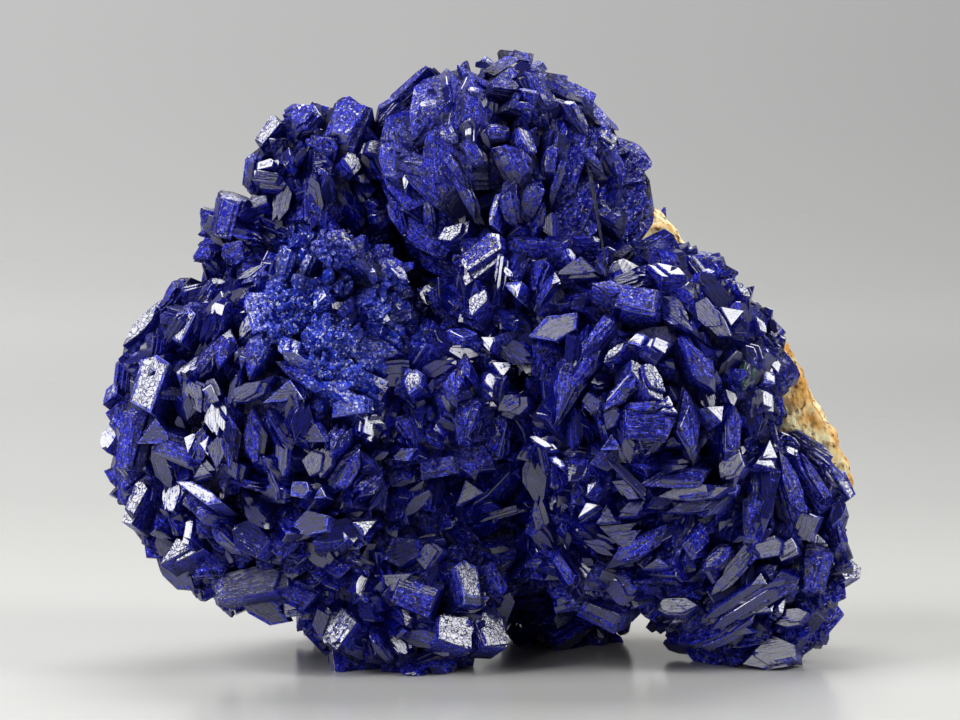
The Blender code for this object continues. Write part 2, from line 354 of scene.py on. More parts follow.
class Cluster:
    """Copies of crystals gathered into the mesh of one piece."""

    def __init__(self, rng):
        self.rng = rng
        self.points, self.corners, self.counts = [], [], []
        self.edge, self.frost, self.rim, self.bruise, self.tip, self.grain = [], [], [], [], [], []
        self.size = 0

    def add(self, shape, axes, place, scale=1.0):
        """Adds a copy with its own X, Y and Z turned to those axes, its foot at the place."""
        points = shape.points * scale @ np.array(axes) + np.array(place)
        points[:, 2] = np.maximum(points[:, 2], FLOOR_CLEARANCE)
        self.points.append(points)
        self.corners.append(shape.corners + self.size)
        self.counts.append(shape.counts)
        self.size += len(points)
        stray = np.array([self.rng.gauss(0, FROST_SPREAD) for _ in shape.counts])
        self.frost.append(np.clip(shape.frost + stray, 0, 1))
        self.edge.append(shape.edge)
        self.rim.append(shape.rim)
        self.bruise.append(bruising(points))
        # painted shade: a point is painted lit by how high up its own crystal it is, and shaded towards
        # the foot, where the gaps between crystals lie in shade
        self.tip.append(np.clip(shape.points[:, 2] / shape.points[:, 2].max(), 0, 1))
        shift = np.array([self.rng.random() * reach for reach in GRAIN_SHIFTS])
        self.grain.append(shape.grain * scale + shift)

    def build(self, name):
        corners = np.concatenate(self.corners)
        counts = np.concatenate(self.counts)
        mesh = bpy.data.meshes.new(name)
        mesh.vertices.add(self.size)
        mesh.vertices.foreach_set("co", (np.concatenate(self.points) * MM).ravel())
        mesh.loops.add(len(corners))
        mesh.loops.foreach_set("vertex_index", corners)
        mesh.polygons.add(len(counts))
        mesh.polygons.foreach_set("loop_start", np.concatenate([[0], np.cumsum(counts)[:-1]]))
        mesh.update(calc_edges=True)
        for label, domain in ATTRIBUTES.items():
            layer = mesh.attributes.new(label, "FLOAT", domain)
            layer.data.foreach_set("value", np.concatenate(getattr(self, label)))
        mesh.shade_flat()
        layer = mesh.uv_layers.new(name="grain")
        layer.uv.foreach_set("vector", np.concatenate(self.grain).ravel())
        obj = bpy.data.objects.new(name, mesh)
        bpy.context.scene.collection.objects.link(obj)
        return obj


AREA_POWER = 1.6  # in the usual rule for the area of an ellipsoid
JITTER = 0.35  # how far crystals stray from even spacing, as a share of it
NEAR_POLE = 0.05  # closer to the pole than this, in radians, rows run anyhow
TURN_SPREAD, TIP_SPREAD = 0.35, 0.15  # radians that crystals are turned and tipped off their row
SIZE_RANGE = (0.82, 1.15)


def even_directions(count):
    """Unit vectors spread evenly along a spiral from pole to pole."""
    golden_angle = math.pi * (3 - math.sqrt(5))
    for i in range(count):
        height = 1 - 2 * (i + 0.5) / count
        ring = math.sqrt(1 - height * height)
        turn = golden_angle * i
        yield Vector((ring * math.cos(turn), ring * math.sin(turn), height))


def depth_in_others(point, own_name):
    """How deep a point lies inside the deepest of the other rosettes, below its crystal tips."""
    depths = []
    for name, (centre, radii, *_) in ROSETTES.items():
        if name != own_name:
            away = math.sqrt(sum(((point[k] - centre[k]) / radii[k]) ** 2 for k in range(3)))
            depths.append((1 - away) * min(radii))
    return max(depths)


def rosette_places(name, spacing, rng):
    """Places spread over a rosette's core, each with its normal and the way its row runs there."""
    centre, radii, pole, pattern = ROSETTES[name]
    pole = Vector(pole).normalized()
    terms = [(radii[a] * radii[b]) ** AREA_POWER for a, b in ((0, 1), (0, 2), (1, 2))]
    area = 4 * math.pi * (sum(terms) / 3) ** (1 / AREA_POWER)
    for even in even_directions(int(area / spacing**2)):
        direction = (even + scatter(rng, JITTER * spacing / max(radii))).normalized()
        normal = Vector([direction[k] / radii[k] for k in range(3)]).normalized()
        tip = Vector([centre[k] + direction[k] * radii[k] for k in range(3)])
        around = pole.cross(normal)
        if around.length < NEAR_POLE:
            around = Vector((1, 0, 0)).cross(normal)
        around.normalize()
        along = around if pattern == "rings" else normal.cross(around)
        yield tip - normal * CORE_INSET, normal, along


def turned_axes(normal, along, spin, lean, tip):
    """The axes of a crystal: its length along its row, turned, leaning to the side and tipped."""
    along = Matrix.Rotation(spin, 3, normal) @ along
    across = normal.cross(along)
    out = (normal * math.cos(lean) + across * math.sin(lean)).normalized()
    across = (across - out * across.dot(out)).normalized()
    along = across.cross(out).normalized()
    turn = Matrix.Rotation(tip, 3, across)
    return turn @ along, across, turn @ out


def reach_past(points, centre, radii):
    """How far the outermost of these points lies past the rosette's outline, in millimetres."""
    away = points - np.array(centre)
    share = np.linalg.norm(away / np.array(radii), axis=1)
    lengths = np.linalg.norm(away, axis=1)
    past = (1 - 1 / share) * lengths
    return past.max()


def add_crystals(cluster, name, shapes, growth, rng, reaches):
    """Covers a rosette with crystals whose tips end about at its outline."""
    spacing, size, lean, kinds = growth
    centre, radii, _, pattern = ROSETTES[name]
    for place, normal, along in rosette_places(name, spacing, rng):
        kind = rng.choices(list(kinds), list(kinds.values()))[0]
        if (name, normal.z > CREST_SLOPE) == (CRESTED, True):
            kind = "small"
        shape = rng.choice(shapes[kind])
        turn, leaning = rng.gauss(0, TURN_SPREAD), rng.gauss(*lean)
        tip = rng.gauss(0, TIP_SPREAD)
        if kind == "petal":
            turn *= PETAL_ORDER
        if pattern == "fan":
            # the petals of a fan open away from its middle
            leaning = math.copysign(leaning, place.x - centre[0])
        scale = size * uniform(rng, SIZE_RANGE)
        reach = min(rng.gauss(*reaches), HIGHEST_REACH)
        if depth_in_others(place, name) > HIDDEN + CORE_INSET or place.z < 0:
            continue
        if growth is not UNDERGROWTH and near_landmark(place + normal * CORE_INSET):
            continue
        axes = turned_axes(normal, along, turn, leaning, tip)
        points = shape.points * scale @ np.array(axes) + np.array(place)
        place = place + normal * (reach - reach_past(points, centre, radii))
        cluster.add(shape, axes, place, scale)
        if growth is UNDERGROWTH:
            # painted shade: the undergrowth is painted darker, as it lies in the shade of the crystals
            # over it
            cluster.tip[-1] *= SHADED


# How far apart a rosette's crystals stand, how much larger than usual they are, how far they
# lean (the mean and the spread, in radians) and how often each kind comes in it.
UPRIGHT = (0.15, 0.35)
GROWTHS = {
    "left": (2.0, 1.0, UPRIGHT, {"wedge": 5, "blade": 3, "leaf": 0.6, "plates": 2}),
    "lower_left": (2.0, 1.0, UPRIGHT, {"wedge": 4, "blade": 3, "leaf": 1, "plates": 2}),
    "centre_left": (1.9, 0.95, UPRIGHT, {"wedge": 4, "blade": 3, "plates": 2}),
    "bruised": (1.8, 0.95, UPRIGHT, {"wedge": 1, "blade": 1, "small": 3}),
    "upper_left": (2.1, 1.1, (0.3, 0.5), {"plates": 4, "blade": 2, "wedge": 3}),
    "left_shoulder": (2.0, 1.0, (0.3, 0.5), {"plates": 4, "blade": 3, "wedge": 1}),
    "top": (1.8, 1.05, (0.85, 0.25), {"petal": 8, "leaf": 1, "plates": 1}),
    "top_right": (1.8, 1.0, (0.85, 0.25), {"petal": 8, "leaf": 1, "plates": 1}),
    "bridge": (2.0, 1.0, UPRIGHT, {"wedge": 4, "blade": 4, "plates": 2}),
    "right": (2.2, 1.15, UPRIGHT, {"wedge": 4, "blade": 4, "leaf": 2, "plates": 2}),
    "lower_right": (2.5, 1.15, UPRIGHT, {"leaf": 5, "petal": 3, "blade": 1, "wedge": 2}),
    "lower_middle": (2.2, 1.15, UPRIGHT, {"leaf": 3, "petal": 2, "blade": 3, "wedge": 3}),
}
OTHER_GROWTH = (2.2, 1.1, UPRIGHT, {"wedge": 4, "blade": 3, "leaf": 1, "plates": 2})
INNERMOST = "heart"  # shows only in the clefts, so it needs no undergrowth
UNDERGROWTH = (1.75, 0.8, (0.0, 0.6), {"wedge": 2, "blade": 2, "small": 3})
SHADED = 0.62  # painted shade: the undergrowth is painted this share as lit as the crystals over it
PETAL_ORDER = 0.4  # petals keep closer to their rows than other crystals
CRESTED, CREST_SLOPE = "top", 0.86  # the rosette whose highest part is broken and granular
CORE_PAINTED_LIGHT = 0.22  # painted shade: a core is painted as lit as a crystal that far up its height, so mostly dark
TIP_REACH = (-0.45, 0.4)  # where the tips end past a rosette's outline: the mean and the spread
HIGHEST_REACH = 0.15
UNDERGROWTH_REACH = (-1.2, 0.4)
CORE_BUMPS = (-0.35, 0.35)


def crystal_shapes(rng, kind):
    """The variants of one kind of crystal, each modelled once."""
    return [Shape(model_crystal(rng, kind)) for _ in range(VARIANTS[kind])]


def model_azurite(rng):
    """The rosettes: each a rough core with crystals and lower undergrowth all over it."""
    shapes = {kind: crystal_shapes(rng, kind) for kind in VARIANTS}
    bare_scene()
    bpy.ops.mesh.primitive_ico_sphere_add(subdivisions=4, radius=1.0)
    ball = Shape(bpy.context.object)
    unit_points = ball.points
    pieces = []
    for name, (centre, radii, *_) in ROSETTES.items():
        cluster = Cluster(rng)
        size = np.array(radii) - CORE_INSET - CORE_DROP
        bumps = np.array([uniform(rng, CORE_BUMPS) for _ in unit_points])
        ball.points = unit_points * (size + bumps[:, None])
        cluster.add(ball, np.eye(3), centre)
        # painted shade: the core is painted dark, as the shaded depth between the crystals
        cluster.tip[-1][:] = CORE_PAINTED_LIGHT
        add_crystals(cluster, name, shapes, GROWTHS.get(name, OTHER_GROWTH), rng, TIP_REACH)
        if name != INNERMOST:
            add_crystals(cluster, name, shapes, UNDERGROWTH, rng, UNDERGROWTH_REACH)
        pieces.append(cluster.build("azurite_" + name))
    return pieces


# ------------------------------------------------------------------------------ the known faces

# The large faces that are known by their place. A row gives where a face shows on the upright
# plane through the point that the camera looks at (X and Z), its outline, its length and width,
# its turn in that plane in degrees, and its finish.
KNOWN_FACES = (
    (-24.0, 20.5, "slab", 4.1, 2.5, 82, "crackled"),
    (-24.7, 24.5, "lens", 3.4, 1.0, 50, "crackled"),
    (-21.6, 24.6, "slab", 2.5, 1.5, 80, "crackled"),
    (-19.0, 25.4, "slab", 2.2, 1.1, 95, "white"),
    (-16.1, 25.5, "slab", 3.2, 1.8, 115, "crackled"),
    (-14.0, 23.0, "kite", 2.0, 1.3, 120, "crackled"),
    (-23.6, 16.8, "triangle", 2.8, 2.0, 0, "grey"),
    (-21.2, 16.0, "triangle", 1.9, 1.0, 75, "white"),
    (-20.0, 16.0, "kite", 1.6, 0.9, 110, "white"),
    (-19.0, 15.3, "kite", 2.5, 1.6, 85, "grey"),
    (-20.7, 19.4, "lens", 2.6, 1.2, 112, "grey"),
    (-19.5, 19.5, "slab", 1.6, 0.8, 120, "grey"),
    (-16.9, 19.8, "lens", 2.6, 1.1, 25, "grey"),
    (-14.1, 19.7, "triangle", 3.1, 1.6, 5, "grey"),
    (-18.1, 16.4, "kite", 3.2, 1.1, 95, "grey"),
    (-14.2, 14.8, "lens", 2.6, 0.8, 92, "grey"),
    (-12.0, 16.7, "triangle", 1.9, 1.5, 0, "grey"),
    (-12.1, 14.4, "hex", 2.1, 1.6, 80, "grey"),
    (-13.1, 12.5, "hex", 1.8, 1.6, 30, "grey"),
    (-11.5, 12.2, "triangle", 1.0, 0.8, 0, "grey"),
    (-20.4, 12.2, "lens", 4.1, 0.9, -31, "white"),
    (-17.9, 13.9, "kite", 1.5, 1.0, 110, "grey"),
    (-20.3, 13.9, "triangle", 1.3, 1.0, 10, "grey"),
    (-25.1, 11.8, "slab", 2.9, 1.2, 76, "crackled"),
    (-26.9, 19.6, "kite", 2.2, 1.1, 70, "crackled"),
    (-22.0, 8.2, "triangle", 2.9, 1.5, 15, "crackled"),
    (-16.6, 8.9, "hex", 3.1, 2.4, -30, "grey"),
    (-17.0, 5.5, "slab", 4.9, 2.2, 12, "grey"),
    (-21.2, 9.4, "slab", 1.5, 0.7, 96, "white"),
    (-12.3, 10.0, "hex", 2.8, 2.1, 5, "grey"),
    (-9.5, 9.2, "kite", 1.3, 0.8, 65, "white"),
    (-8.2, 9.5, "triangle", 2.1, 1.3, 190, "crackled"),
    (-11.5, 2.5, "kite", 2.4, 1.5, 100, "grey"),
    (-9.8, 2.4, "slab", 2.2, 1.8, 60, "crackled"),
    (-5.8, 5.5, "triangle", 2.6, 1.3, 180, "grey"),
    (-5.6, 8.0, "hex", 2.8, 2.2, 20, "grey"),
    (-3.7, 7.5, "slab", 1.6, 1.1, 60, "grey"),
    (-0.4, 5.6, "slab", 3.2, 1.8, 88, "crackled"),
    (-1.5, 1.9, "slab", 2.8, 2.6, 0, "crackled"),
    (1.2, 2.0, "slab", 2.5, 2.2, 95, "crackled"),
    (0.9, 15.4, "hex", 1.9, 1.5, 0, "grey"),
    (-0.7, 12.4, "triangle", 2.2, 1.5, 20, "grey"),
    (-5.4, 15.0, "kite", 1.9, 1.0, 20, "grey"),
    (8.5, 12.7, "kite", 1.6, 0.7, 75, "white"),
    (8.2, 11.1, "triangle", 1.9, 0.7, 25, "white"),
    (9.5, 10.5, "triangle", 1.6, 1.2, 0, "grey"),
    (11.0, 8.6, "triangle", 2.8, 1.5, 185, "grey"),
    (11.5, 11.1, "kite", 1.8, 1.0, 25, "grey"),
    (11.1, 12.3, "kite", 2.1, 1.1, -25, "grey"),
    (11.0, 6.1, "lens", 3.2, 1.0, 25, "grey"),
    (6.0, 14.5, "lens", 1.5, 0.5, -35, "white"),
    (4.7, 16.0, "lens", 2.1, 0.5, -30, "white"),
    (9.9, 15.9, "triangle", 1.5, 1.1, 0, "grey"),
    (-3.3, 26.6, "lens", 3.1, 1.2, -38, "white"),
    (-5.7, 28.6, "lens", 2.1, 0.9, -42, "crackled"),
    (0.2, 26.4, "kite", 2.5, 1.5, 75, "crackled"),
    (-1.0, 24.1, "kite", 2.4, 1.3, -22, "white"),
    (1.0, 23.5, "triangle", 1.5, 0.9, -50, "white"),
    (2.0, 21.3, "triangle", 1.8, 1.2, 190, "white"),
    (1.1, 20.4, "kite", 1.5, 1.0, 95, "white"),
    (-4.7, 20.5, "hex", 1.9, 1.5, 80, "crackled"),
    (2.4, 18.8, "hex", 1.8, 1.4, 30, "grey"),
    (2.8, 18.2, "kite", 1.1, 0.8, 0, "crackled"),
    (0.4, 30.0, "slab", 3.5, 1.8, 36, "crackled"),
    (-1.9, 31.4, "hex", 2.1, 1.3, 25, "crackled"),
    (2.9, 27.5, "triangle", 1.6, 1.2, -50, "white"),
    (2.3, 28.5, "lens", 1.3, 0.5, -45, "white"),
    (-9.4, 18.5, "slab", 2.9, 1.3, 12, "grey"),
    (-10.5, 20.1, "lens", 2.8, 0.8, 4, "grey"),
    (-5.2, 31.6, "lens", 1.2, 0.6, 105, "white"),
    (-15.5, 36.4, "slab", 1.6, 0.7, 4, "white"),
    (-15.3, 35.4, "slab", 2.1, 1.0, -10, "grey"),
    (-9.2, 36.7, "hex", 1.6, 1.2, 80, "crackled"),
    (-7.2, 37.6, "slab", 1.6, 1.2, 0, "crackled"),
    (-5.1, 35.2, "kite", 1.8, 0.8, 95, "white"),
    (-7.3, 33.6, "kite", 0.7, 0.6, 0, "white"),
    (-11.4, 26.6, "kite", 1.3, 0.8, 75, "white"),
    (-7.3, 30.3, "hex", 1.1, 1.0, 0, "crackled"),
    (-16.1, 26.7, "triangle", 1.2, 1.0, -20, "white"),
    (5.9, 30.9, "slab", 1.5, 0.9, -30, "white"),
    (8.0, 30.9, "slab", 2.0, 0.8, 14, "white"),
    (7.0, 29.8, "lens", 1.2, 0.5, -50, "white"),
    (3.9, 30.9, "lens", 2.4, 0.7, -4, "crackled"),
    (5.1, 31.9, "triangle", 1.9, 1.2, 95, "grey"),
    (7.1, 28.9, "triangle", 2.4, 1.2, 0, "grey"),
    (9.8, 38.4, "slab", 1.3, 1.0, -30, "crackled"),
    (3.9, 41.8, "lens", 1.4, 0.5, -30, "white"),
    (-0.2, 41.9, "hex", 1.0, 0.9, 0, "crackled"),
    (3.8, 38.2, "lens", 2.6, 1.0, -62, "crackled"),
    (11.8, 23.5, "kite", 1.8, 1.1, 12, "white"),
    (10.2, 22.7, "lens", 1.9, 0.7, 35, "crackled"),
    (13.6, 23.1, "slab", 1.4, 1.0, -20, "white"),
    (14.3, 28.7, "kite", 2.5, 1.2, -62, "white"),
    (19.0, 25.2, "triangle", 2.0, 1.4, 180, "white"),
    (17.0, 25.4, "lens", 2.8, 1.5, -42, "grey"),
    (19.6, 27.2, "lens", 1.6, 0.7, -50, "crackled"),
    (17.1, 28.6, "kite", 0.9, 0.7, 0, "white"),
    (21.0, 24.5, "kite", 1.2, 0.7, -60, "white"),
    (20.2, 22.4, "lens", 1.8, 1.0, -62, "grey"),
    (21.6, 22.4, "hex", 1.3, 1.0, 0, "grey"),
    (21.6, 20.7, "slab", 1.0, 1.0, 5, "white"),
    (21.5, 19.1, "slab", 1.2, 0.9, 80, "white"),
    (14.0, 19.0, "triangle", 1.6, 0.9, 0, "white"),
    (17.9, 18.3, "triangle", 1.5, 1.2, -50, "white"),
    (21.6, 15.4, "triangle", 1.6, 1.5, 0, "white"),
    (23.2, 15.3, "kite", 1.3, 0.8, 100, "white"),
    (13.1, 20.8, "lens", 2.5, 1.2, -58, "crackled"),
    (5.7, 24.5, "hex", 3.4, 1.8, 22, "grey"),
    (8.6, 18.8, "hex", 1.3, 1.2, 0, "grey"),
    (9.9, 17.7, "hex", 1.5, 1.2, 60, "grey"),
    (15.6, 12.3, "lens", 4.1, 1.0, 10, "grey"),
    (15.9, 11.2, "lens", 3.4, 0.8, 12, "grey"),
    (18.7, 14.3, "lens", 2.4, 1.3, 60, "grey"),
    (18.7, 12.6, "hex", 1.4, 1.0, 0, "grey"),
    (20.7, 12.4, "triangle", 1.9, 1.2, 20, "grey"),
    (21.5, 8.0, "slab", 2.0, 1.2, 14, "grey"),
    (23.0, 8.1, "slab", 1.4, 0.9, 30, "grey"),
    (24.5, 9.7, "slab", 2.0, 1.1, 72, "grey"),
    (26.5, 10.6, "lens", 2.1, 0.9, 80, "grey"),
    (27.3, 12.8, "slab", 2.2, 1.1, 112, "crackled"),
    (20.9, 5.8, "triangle", 1.3, 0.9, 0, "grey"),
    (22.7, 5.7, "hex", 2.1, 1.6, 0, "grey"),
    (20.5, 4.6, "triangle", 2.4, 1.5, 0, "grey"),
    (14.7, 3.8, "lens", 2.9, 1.2, 0, "grey"),
    (18.7, 2.3, "lens", 4.0, 1.1, -14, "grey"),
    (23.5, 3.1, "lens", 2.2, 1.0, 10, "grey"),
    (27.5, 6.5, "hex", 1.8, 1.6, 0, "crackled"),
    (13.4, 7.0, "triangle", 2.1, 0.8, 0, "grey"),
    (21.9, 0.4, "hex", 3.7, 2.1, 5, "grey"),
    (-9.9, 39.6, "slab", 4.4, 2.8, 78, "blue"),
    (-12.8, 40.0, "hex", 2.5, 2.2, 60, "blue"),
    (-13.5, 40.6, "kite", 1.9, 1.3, 20, "blue"),
    (-15.3, 38.8, "slab", 2.5, 1.0, 60, "crackled"),
    (-16.8, 35.9, "slab", 3.2, 1.3, 72, "blue"),
    (-18.5, 32.8, "slab", 3.7, 2.6, 80, "blue"),
    (-20.1, 30.0, "kite", 2.5, 1.6, 20, "blue"),
    (-17.9, 29.7, "hex", 2.5, 1.9, 40, "blue"),
    (-25.6, 16.4, "slab", 5.6, 2.2, 86, "blue"),
    (-26.5, 21.1, "slab", 2.2, 1.0, 85, "blue"),
    (-22.5, 27.3, "hex", 2.2, 1.6, 20, "blue"),
    (-23.0, 26.3, "slab", 1.9, 1.0, 40, "blue"),
    (20.7, 9.9, "slab", 4.3, 1.9, 88, "blue"),
    (23.5, 12.3, "lens", 6.2, 1.8, 104, "blue"),
    (25.3, 13.1, "lens", 5.3, 1.9, 112, "blue"),
    (26.5, 13.9, "lens", 2.9, 1.3, -50, "blue"),
    (15.1, 13.0, "lens", 5.4, 1.3, 6, "blue"),
    (12.4, 17.3, "slab", 4.6, 2.5, 0, "blue"),
    (12.2, 18.6, "lens", 3.5, 0.7, 2, "blue"),
    (6.2, 19.5, "kite", 5.3, 2.5, 82, "blue"),
    (7.4, 21.1, "lens", 4.4, 1.3, 55, "blue"),
    (15.9, 17.0, "kite", 4.7, 2.1, 98, "blue"),
    (10.9, 20.1, "lens", 4.9, 1.3, 48, "blue"),
    (16.6, 21.6, "kite", 4.6, 1.9, -58, "blue"),
    (19.2, 16.5, "lens", 4.1, 1.6, 85, "blue"),
    (12.1, 26.4, "slab", 3.7, 2.2, -10, "blue"),
    (9.9, 27.4, "kite", 3.2, 1.9, -15, "blue"),
    (6.2, 26.4, "slab", 4.0, 1.6, -5, "blue"),
    (5.4, 30.5, "slab", 2.9, 1.6, -10, "blue"),
    (9.1, 24.2, "lens", 4.4, 1.3, 60, "blue"),
    (-12.9, 20.7, "lens", 4.4, 1.2, -28, "blue"),
    (-9.1, 19.2, "lens", 4.4, 1.0, -20, "crackled"),
    (-18.4, 22.7, "kite", 3.2, 1.8, 80, "blue"),
    (-16.6, 22.4, "kite", 3.4, 1.8, 95, "blue"),
    (-16.2, 15.7, "kite", 4.4, 1.5, 95, "blue"),
    (-9.6, 13.5, "lens", 3.7, 1.3, 60, "blue"),
    (-22.1, 15.0, "slab", 3.7, 1.6, -15, "blue"),
    (-20.3, 15.4, "kite", 2.9, 1.6, 80, "blue"),
    (-22.1, 6.2, "lens", 4.1, 1.9, -38, "grey"),
    (-15.7, 3.5, "lens", 4.4, 1.8, -25, "grey"),
    (-18.4, 8.3, "lens", 3.7, 1.2, -40, "blue"),
    (-12.9, 4.3, "slab", 2.9, 1.9, -40, "blue"),
    (-4.1, 4.3, "slab", 3.7, 2.2, -20, "blue"),
    (-2.6, 13.9, "slab", 3.7, 1.6, 15, "blue"),
    (-0.4, 17.6, "kite", 3.2, 1.9, 70, "blue"),
    (-1.5, 20.2, "kite", 2.9, 1.6, 85, "blue"),
    (9.1, 2.8, "slab", 4.4, 2.1, -10, "blue"),
    (12.8, 5.0, "lens", 4.4, 1.5, 10, "blue"),
    (12.1, 8.3, "lens", 4.4, 1.3, 35, "blue"),
    (16.5, 8.3, "slab", 2.9, 2.2, 30, "blue"),
    (17.9, 7.2, "lens", 3.2, 1.3, 40, "blue"),
    (25.3, 6.1, "slab", 3.7, 2.2, 75, "blue"),
    (27.1, 9.5, "slab", 3.7, 1.2, 85, "blue"),
    (6.2, 6.5, "slab", 3.7, 1.5, -50, "blue"),
    (-10.7, 31.2, "hex", 1.9, 1.5, 0, "blue"),
    (-5.3, 42.1, "arch", 4.9, 1.3, 32, "petal"),
    (-6.2, 41.2, "arch", 4.4, 1.1, 38, "petal"),
    (-6.5, 40.5, "arch", 2.6, 1.5, 50, "petal"),
    (-3.2, 40.6, "arch", 2.9, 1.9, 20, "petal"),
    (-3.2, 35.4, "arch", 5.9, 1.8, -38, "petal"),
    (-3.5, 34.4, "arch", 4.9, 1.1, -42, "petal"),
    (-1.6, 35.9, "arch", 4.0, 1.1, -55, "petal"),
    (0.0, 37.2, "arch", 2.8, 1.3, -55, "petal"),
    (1.3, 33.2, "arch", 2.9, 0.5, 88, "crackled"),
    (2.9, 36.2, "arch", 3.2, 2.2, -60, "petal"),
    (4.1, 34.0, "arch", 3.4, 1.6, 65, "petal"),
    (2.4, 33.2, "arch", 3.5, 1.3, 95, "petal"),
    (6.9, 36.0, "arch", 4.9, 1.0, 70, "petal"),
    (7.9, 35.7, "arch", 3.4, 0.8, 66, "crackled"),
    (6.0, 35.4, "arch", 4.1, 0.7, 74, "petal"),
    (6.9, 41.9, "arch", 4.6, 1.3, -38, "petal"),
    (7.5, 40.0, "arch", 3.5, 1.0, -60, "petal"),
    (10.3, 36.6, "arch", 3.8, 1.5, -38, "petal"),
    (9.6, 33.1, "arch", 4.4, 2.1, -30, "petal"),
    (-5.7, 32.6, "arch", 4.1, 1.3, -75, "petal"),
    (-3.5, 32.2, "arch", 2.6, 0.9, 88, "petal"),
    (-7.0, 32.2, "arch", 2.2, 1.6, -60, "petal"),
    (2.1, 42.4, "arch", 2.6, 1.2, -5, "petal"),
    (3.5, 40.6, "arch", 2.4, 0.9, -12, "petal"),
    (5.0, 41.6, "arch", 3.8, 1.5, -70, "petal"),
    (-0.9, 34.5, "arch", 4.4, 1.0, -60, "petal"),
    (-2.2, 38.7, "arch", 2.6, 1.3, -40, "petal"),
    (1.6, 38.7, "arch", 1.9, 1.3, 0, "petal"),
    (-4.4, 39.0, "arch", 2.5, 1.6, 30, "petal"),
    (5.4, 36.6, "arch", 2.9, 1.0, 80, "petal"),
    (8.5, 36.9, "arch", 2.9, 0.9, -50, "petal"),
    (-9.3, 23.1, "kite", 1.8, 1.2, 110, "crackled"),
    (20.3, 21.3, "arch", 1.7, 0.8, 80, "stained"),
    (19.9, 20.3, "hex", 1.1, 0.6, 60, "stained"),
    (24.6, 16.3, "arch", 4.1, 1.2, -18, "petal"),
    (25.4, 15.0, "arch", 3.7, 1.2, -40, "petal"),
    (26.6, 13.2, "arch", 3.2, 1.2, -62, "petal"),
)
FACE_PIECES = ("clear", "crackled", "stained")
# The finishes of crystals that turn their broad side outwards. Of the rest, which turn their end
# faces outwards, a white one mirrors a softbox and a grey one the pale card.
BROAD_SIDES = ("blue", "petal", "stained")
PETAL_BEND = (10, 30)  # degrees
PETAL_ROOT = (2.5, 29.5)  # where the petals of the top rosette come from, as X and Z
FACE_DEPTH = 2.6  # how far a known face's crystal runs back into the rosette
FACE_INSET = 0.5  # a known face lies this far inside its rosette's outline
GREY_SPREAD = 0.10  # how far the grey faces stray from the way that they mirror the card
FACE_CLEARANCE = 0.3  # other crystals keep this far from a known face, seen from the front
FRONT_DEPTH = 4.0  # other crystals only make way in front of this far behind the sight point
MISS = 1e-4  # a line of sight that passes a rosette by less than this share of it still hits it


def shown_at(point):
    """Where a point shows on the upright plane through the point that the camera looks at."""
    eye = camera_place()
    ray = Vector(point) - eye
    share = (SIGHT[1] - eye.y) / ray.y
    shown = eye + ray * share
    return shown.x, shown.z


def near_landmark(point):
    """Whether a point of the front shows on or close by one of the known faces."""
    if point.y > SIGHT[1] + FRONT_DEPTH:
        return False
    x, z = shown_at(point)
    for face_x, face_z, _, length, width, turn, _ in KNOWN_FACES:
        turn = math.radians(turn)
        dx, dz = x - face_x, z - face_z
        along = dx * math.cos(turn) + dz * math.sin(turn)
        across = dz * math.cos(turn) - dx * math.sin(turn)
        reach = (along / (length / 2 + FACE_CLEARANCE)) ** 2
        reach += (across / (width / 2 + FACE_CLEARANCE)) ** 2
        if reach < 1:
            return True
    for lump_x, lump_z, across, up, _ in LUMPS:
        if math.hypot((x - lump_x) / across, (z - lump_z) / up) < 1:
            return True
    return False


def seen_place(x, z):
    """The place on the rosettes that shows at X and Z, and the rosette's normal there.

    Where the line of sight passes by all of them, it is the place that comes closest to one.
    """
    eye = camera_place()
    ray = (Vector((x, SIGHT[1], z)) - eye).normalized()
    found = []
    for centre, radii, *_ in ROSETTES.values():
        inner = [r - FACE_INSET for r in radii]
        start = Vector([(eye[k] - centre[k]) / inner[k] for k in range(3)])
        run = Vector([ray[k] / inner[k] for k in range(3)])
        a, b, c = run.dot(run), start.dot(run), start.dot(start) - 1
        inside = b * b - a * c
        distance = (-b - math.sqrt(max(inside, 0.0))) / a
        hit = start + run * distance
        normal = Vector([hit[k] / inner[k] for k in range(3)]).normalized()
        passing = max(hit.length - 1, 0.0)
        missed = passing > MISS
        found.append((missed, passing if missed else distance, distance, normal))
    _, _, distance, normal = min(found, key=lambda one: one[:2])
    return eye + ray * distance, normal


# The corners of each outline, in order, on a box that runs from -1 to 1 both ways.
OUTLINES = {
    "triangle": ((-1, -1), (1, -0.85), (0.15, 1)),
    "kite": ((-1, 0.1), (0.25, -1), (1, 0), (0.1, 1)),
    "lens": ((-1, 0), (-0.3, -0.9), (0.5, -1), (1, 0.1), (0.4, 0.9), (-0.5, 1)),
    "slab": ((-1, -0.75), (0.8, -1), (1, 0.3), (0.75, 1), (-0.85, 0.9)),
    "arch": (
        (-1, -0.9), (0.1, -1), (0.95, -0.75), (1, -0.1),
        (0.6, 0.75), (0, 1), (-0.6, 0.8), (-0.95, 0),
    ),
    "hex": ((-1, -0.1), (-0.25, -1), (0.75, -0.8), (1, 0.25), (-0.1, 1)),
}
OUTLINE_SCATTER = 0.16  # how far a corner strays, on that box
FACE_SHORTEST_EDGE = 0.05  # as SHORTEST_EDGE, for the known faces
RIM_SHARE = 0.25  # the most of a face's width that its rim takes
LEVEL, RIMMED_AREA = 0.98, 0.2  # the flat upper faces, from this area up, are given a rim

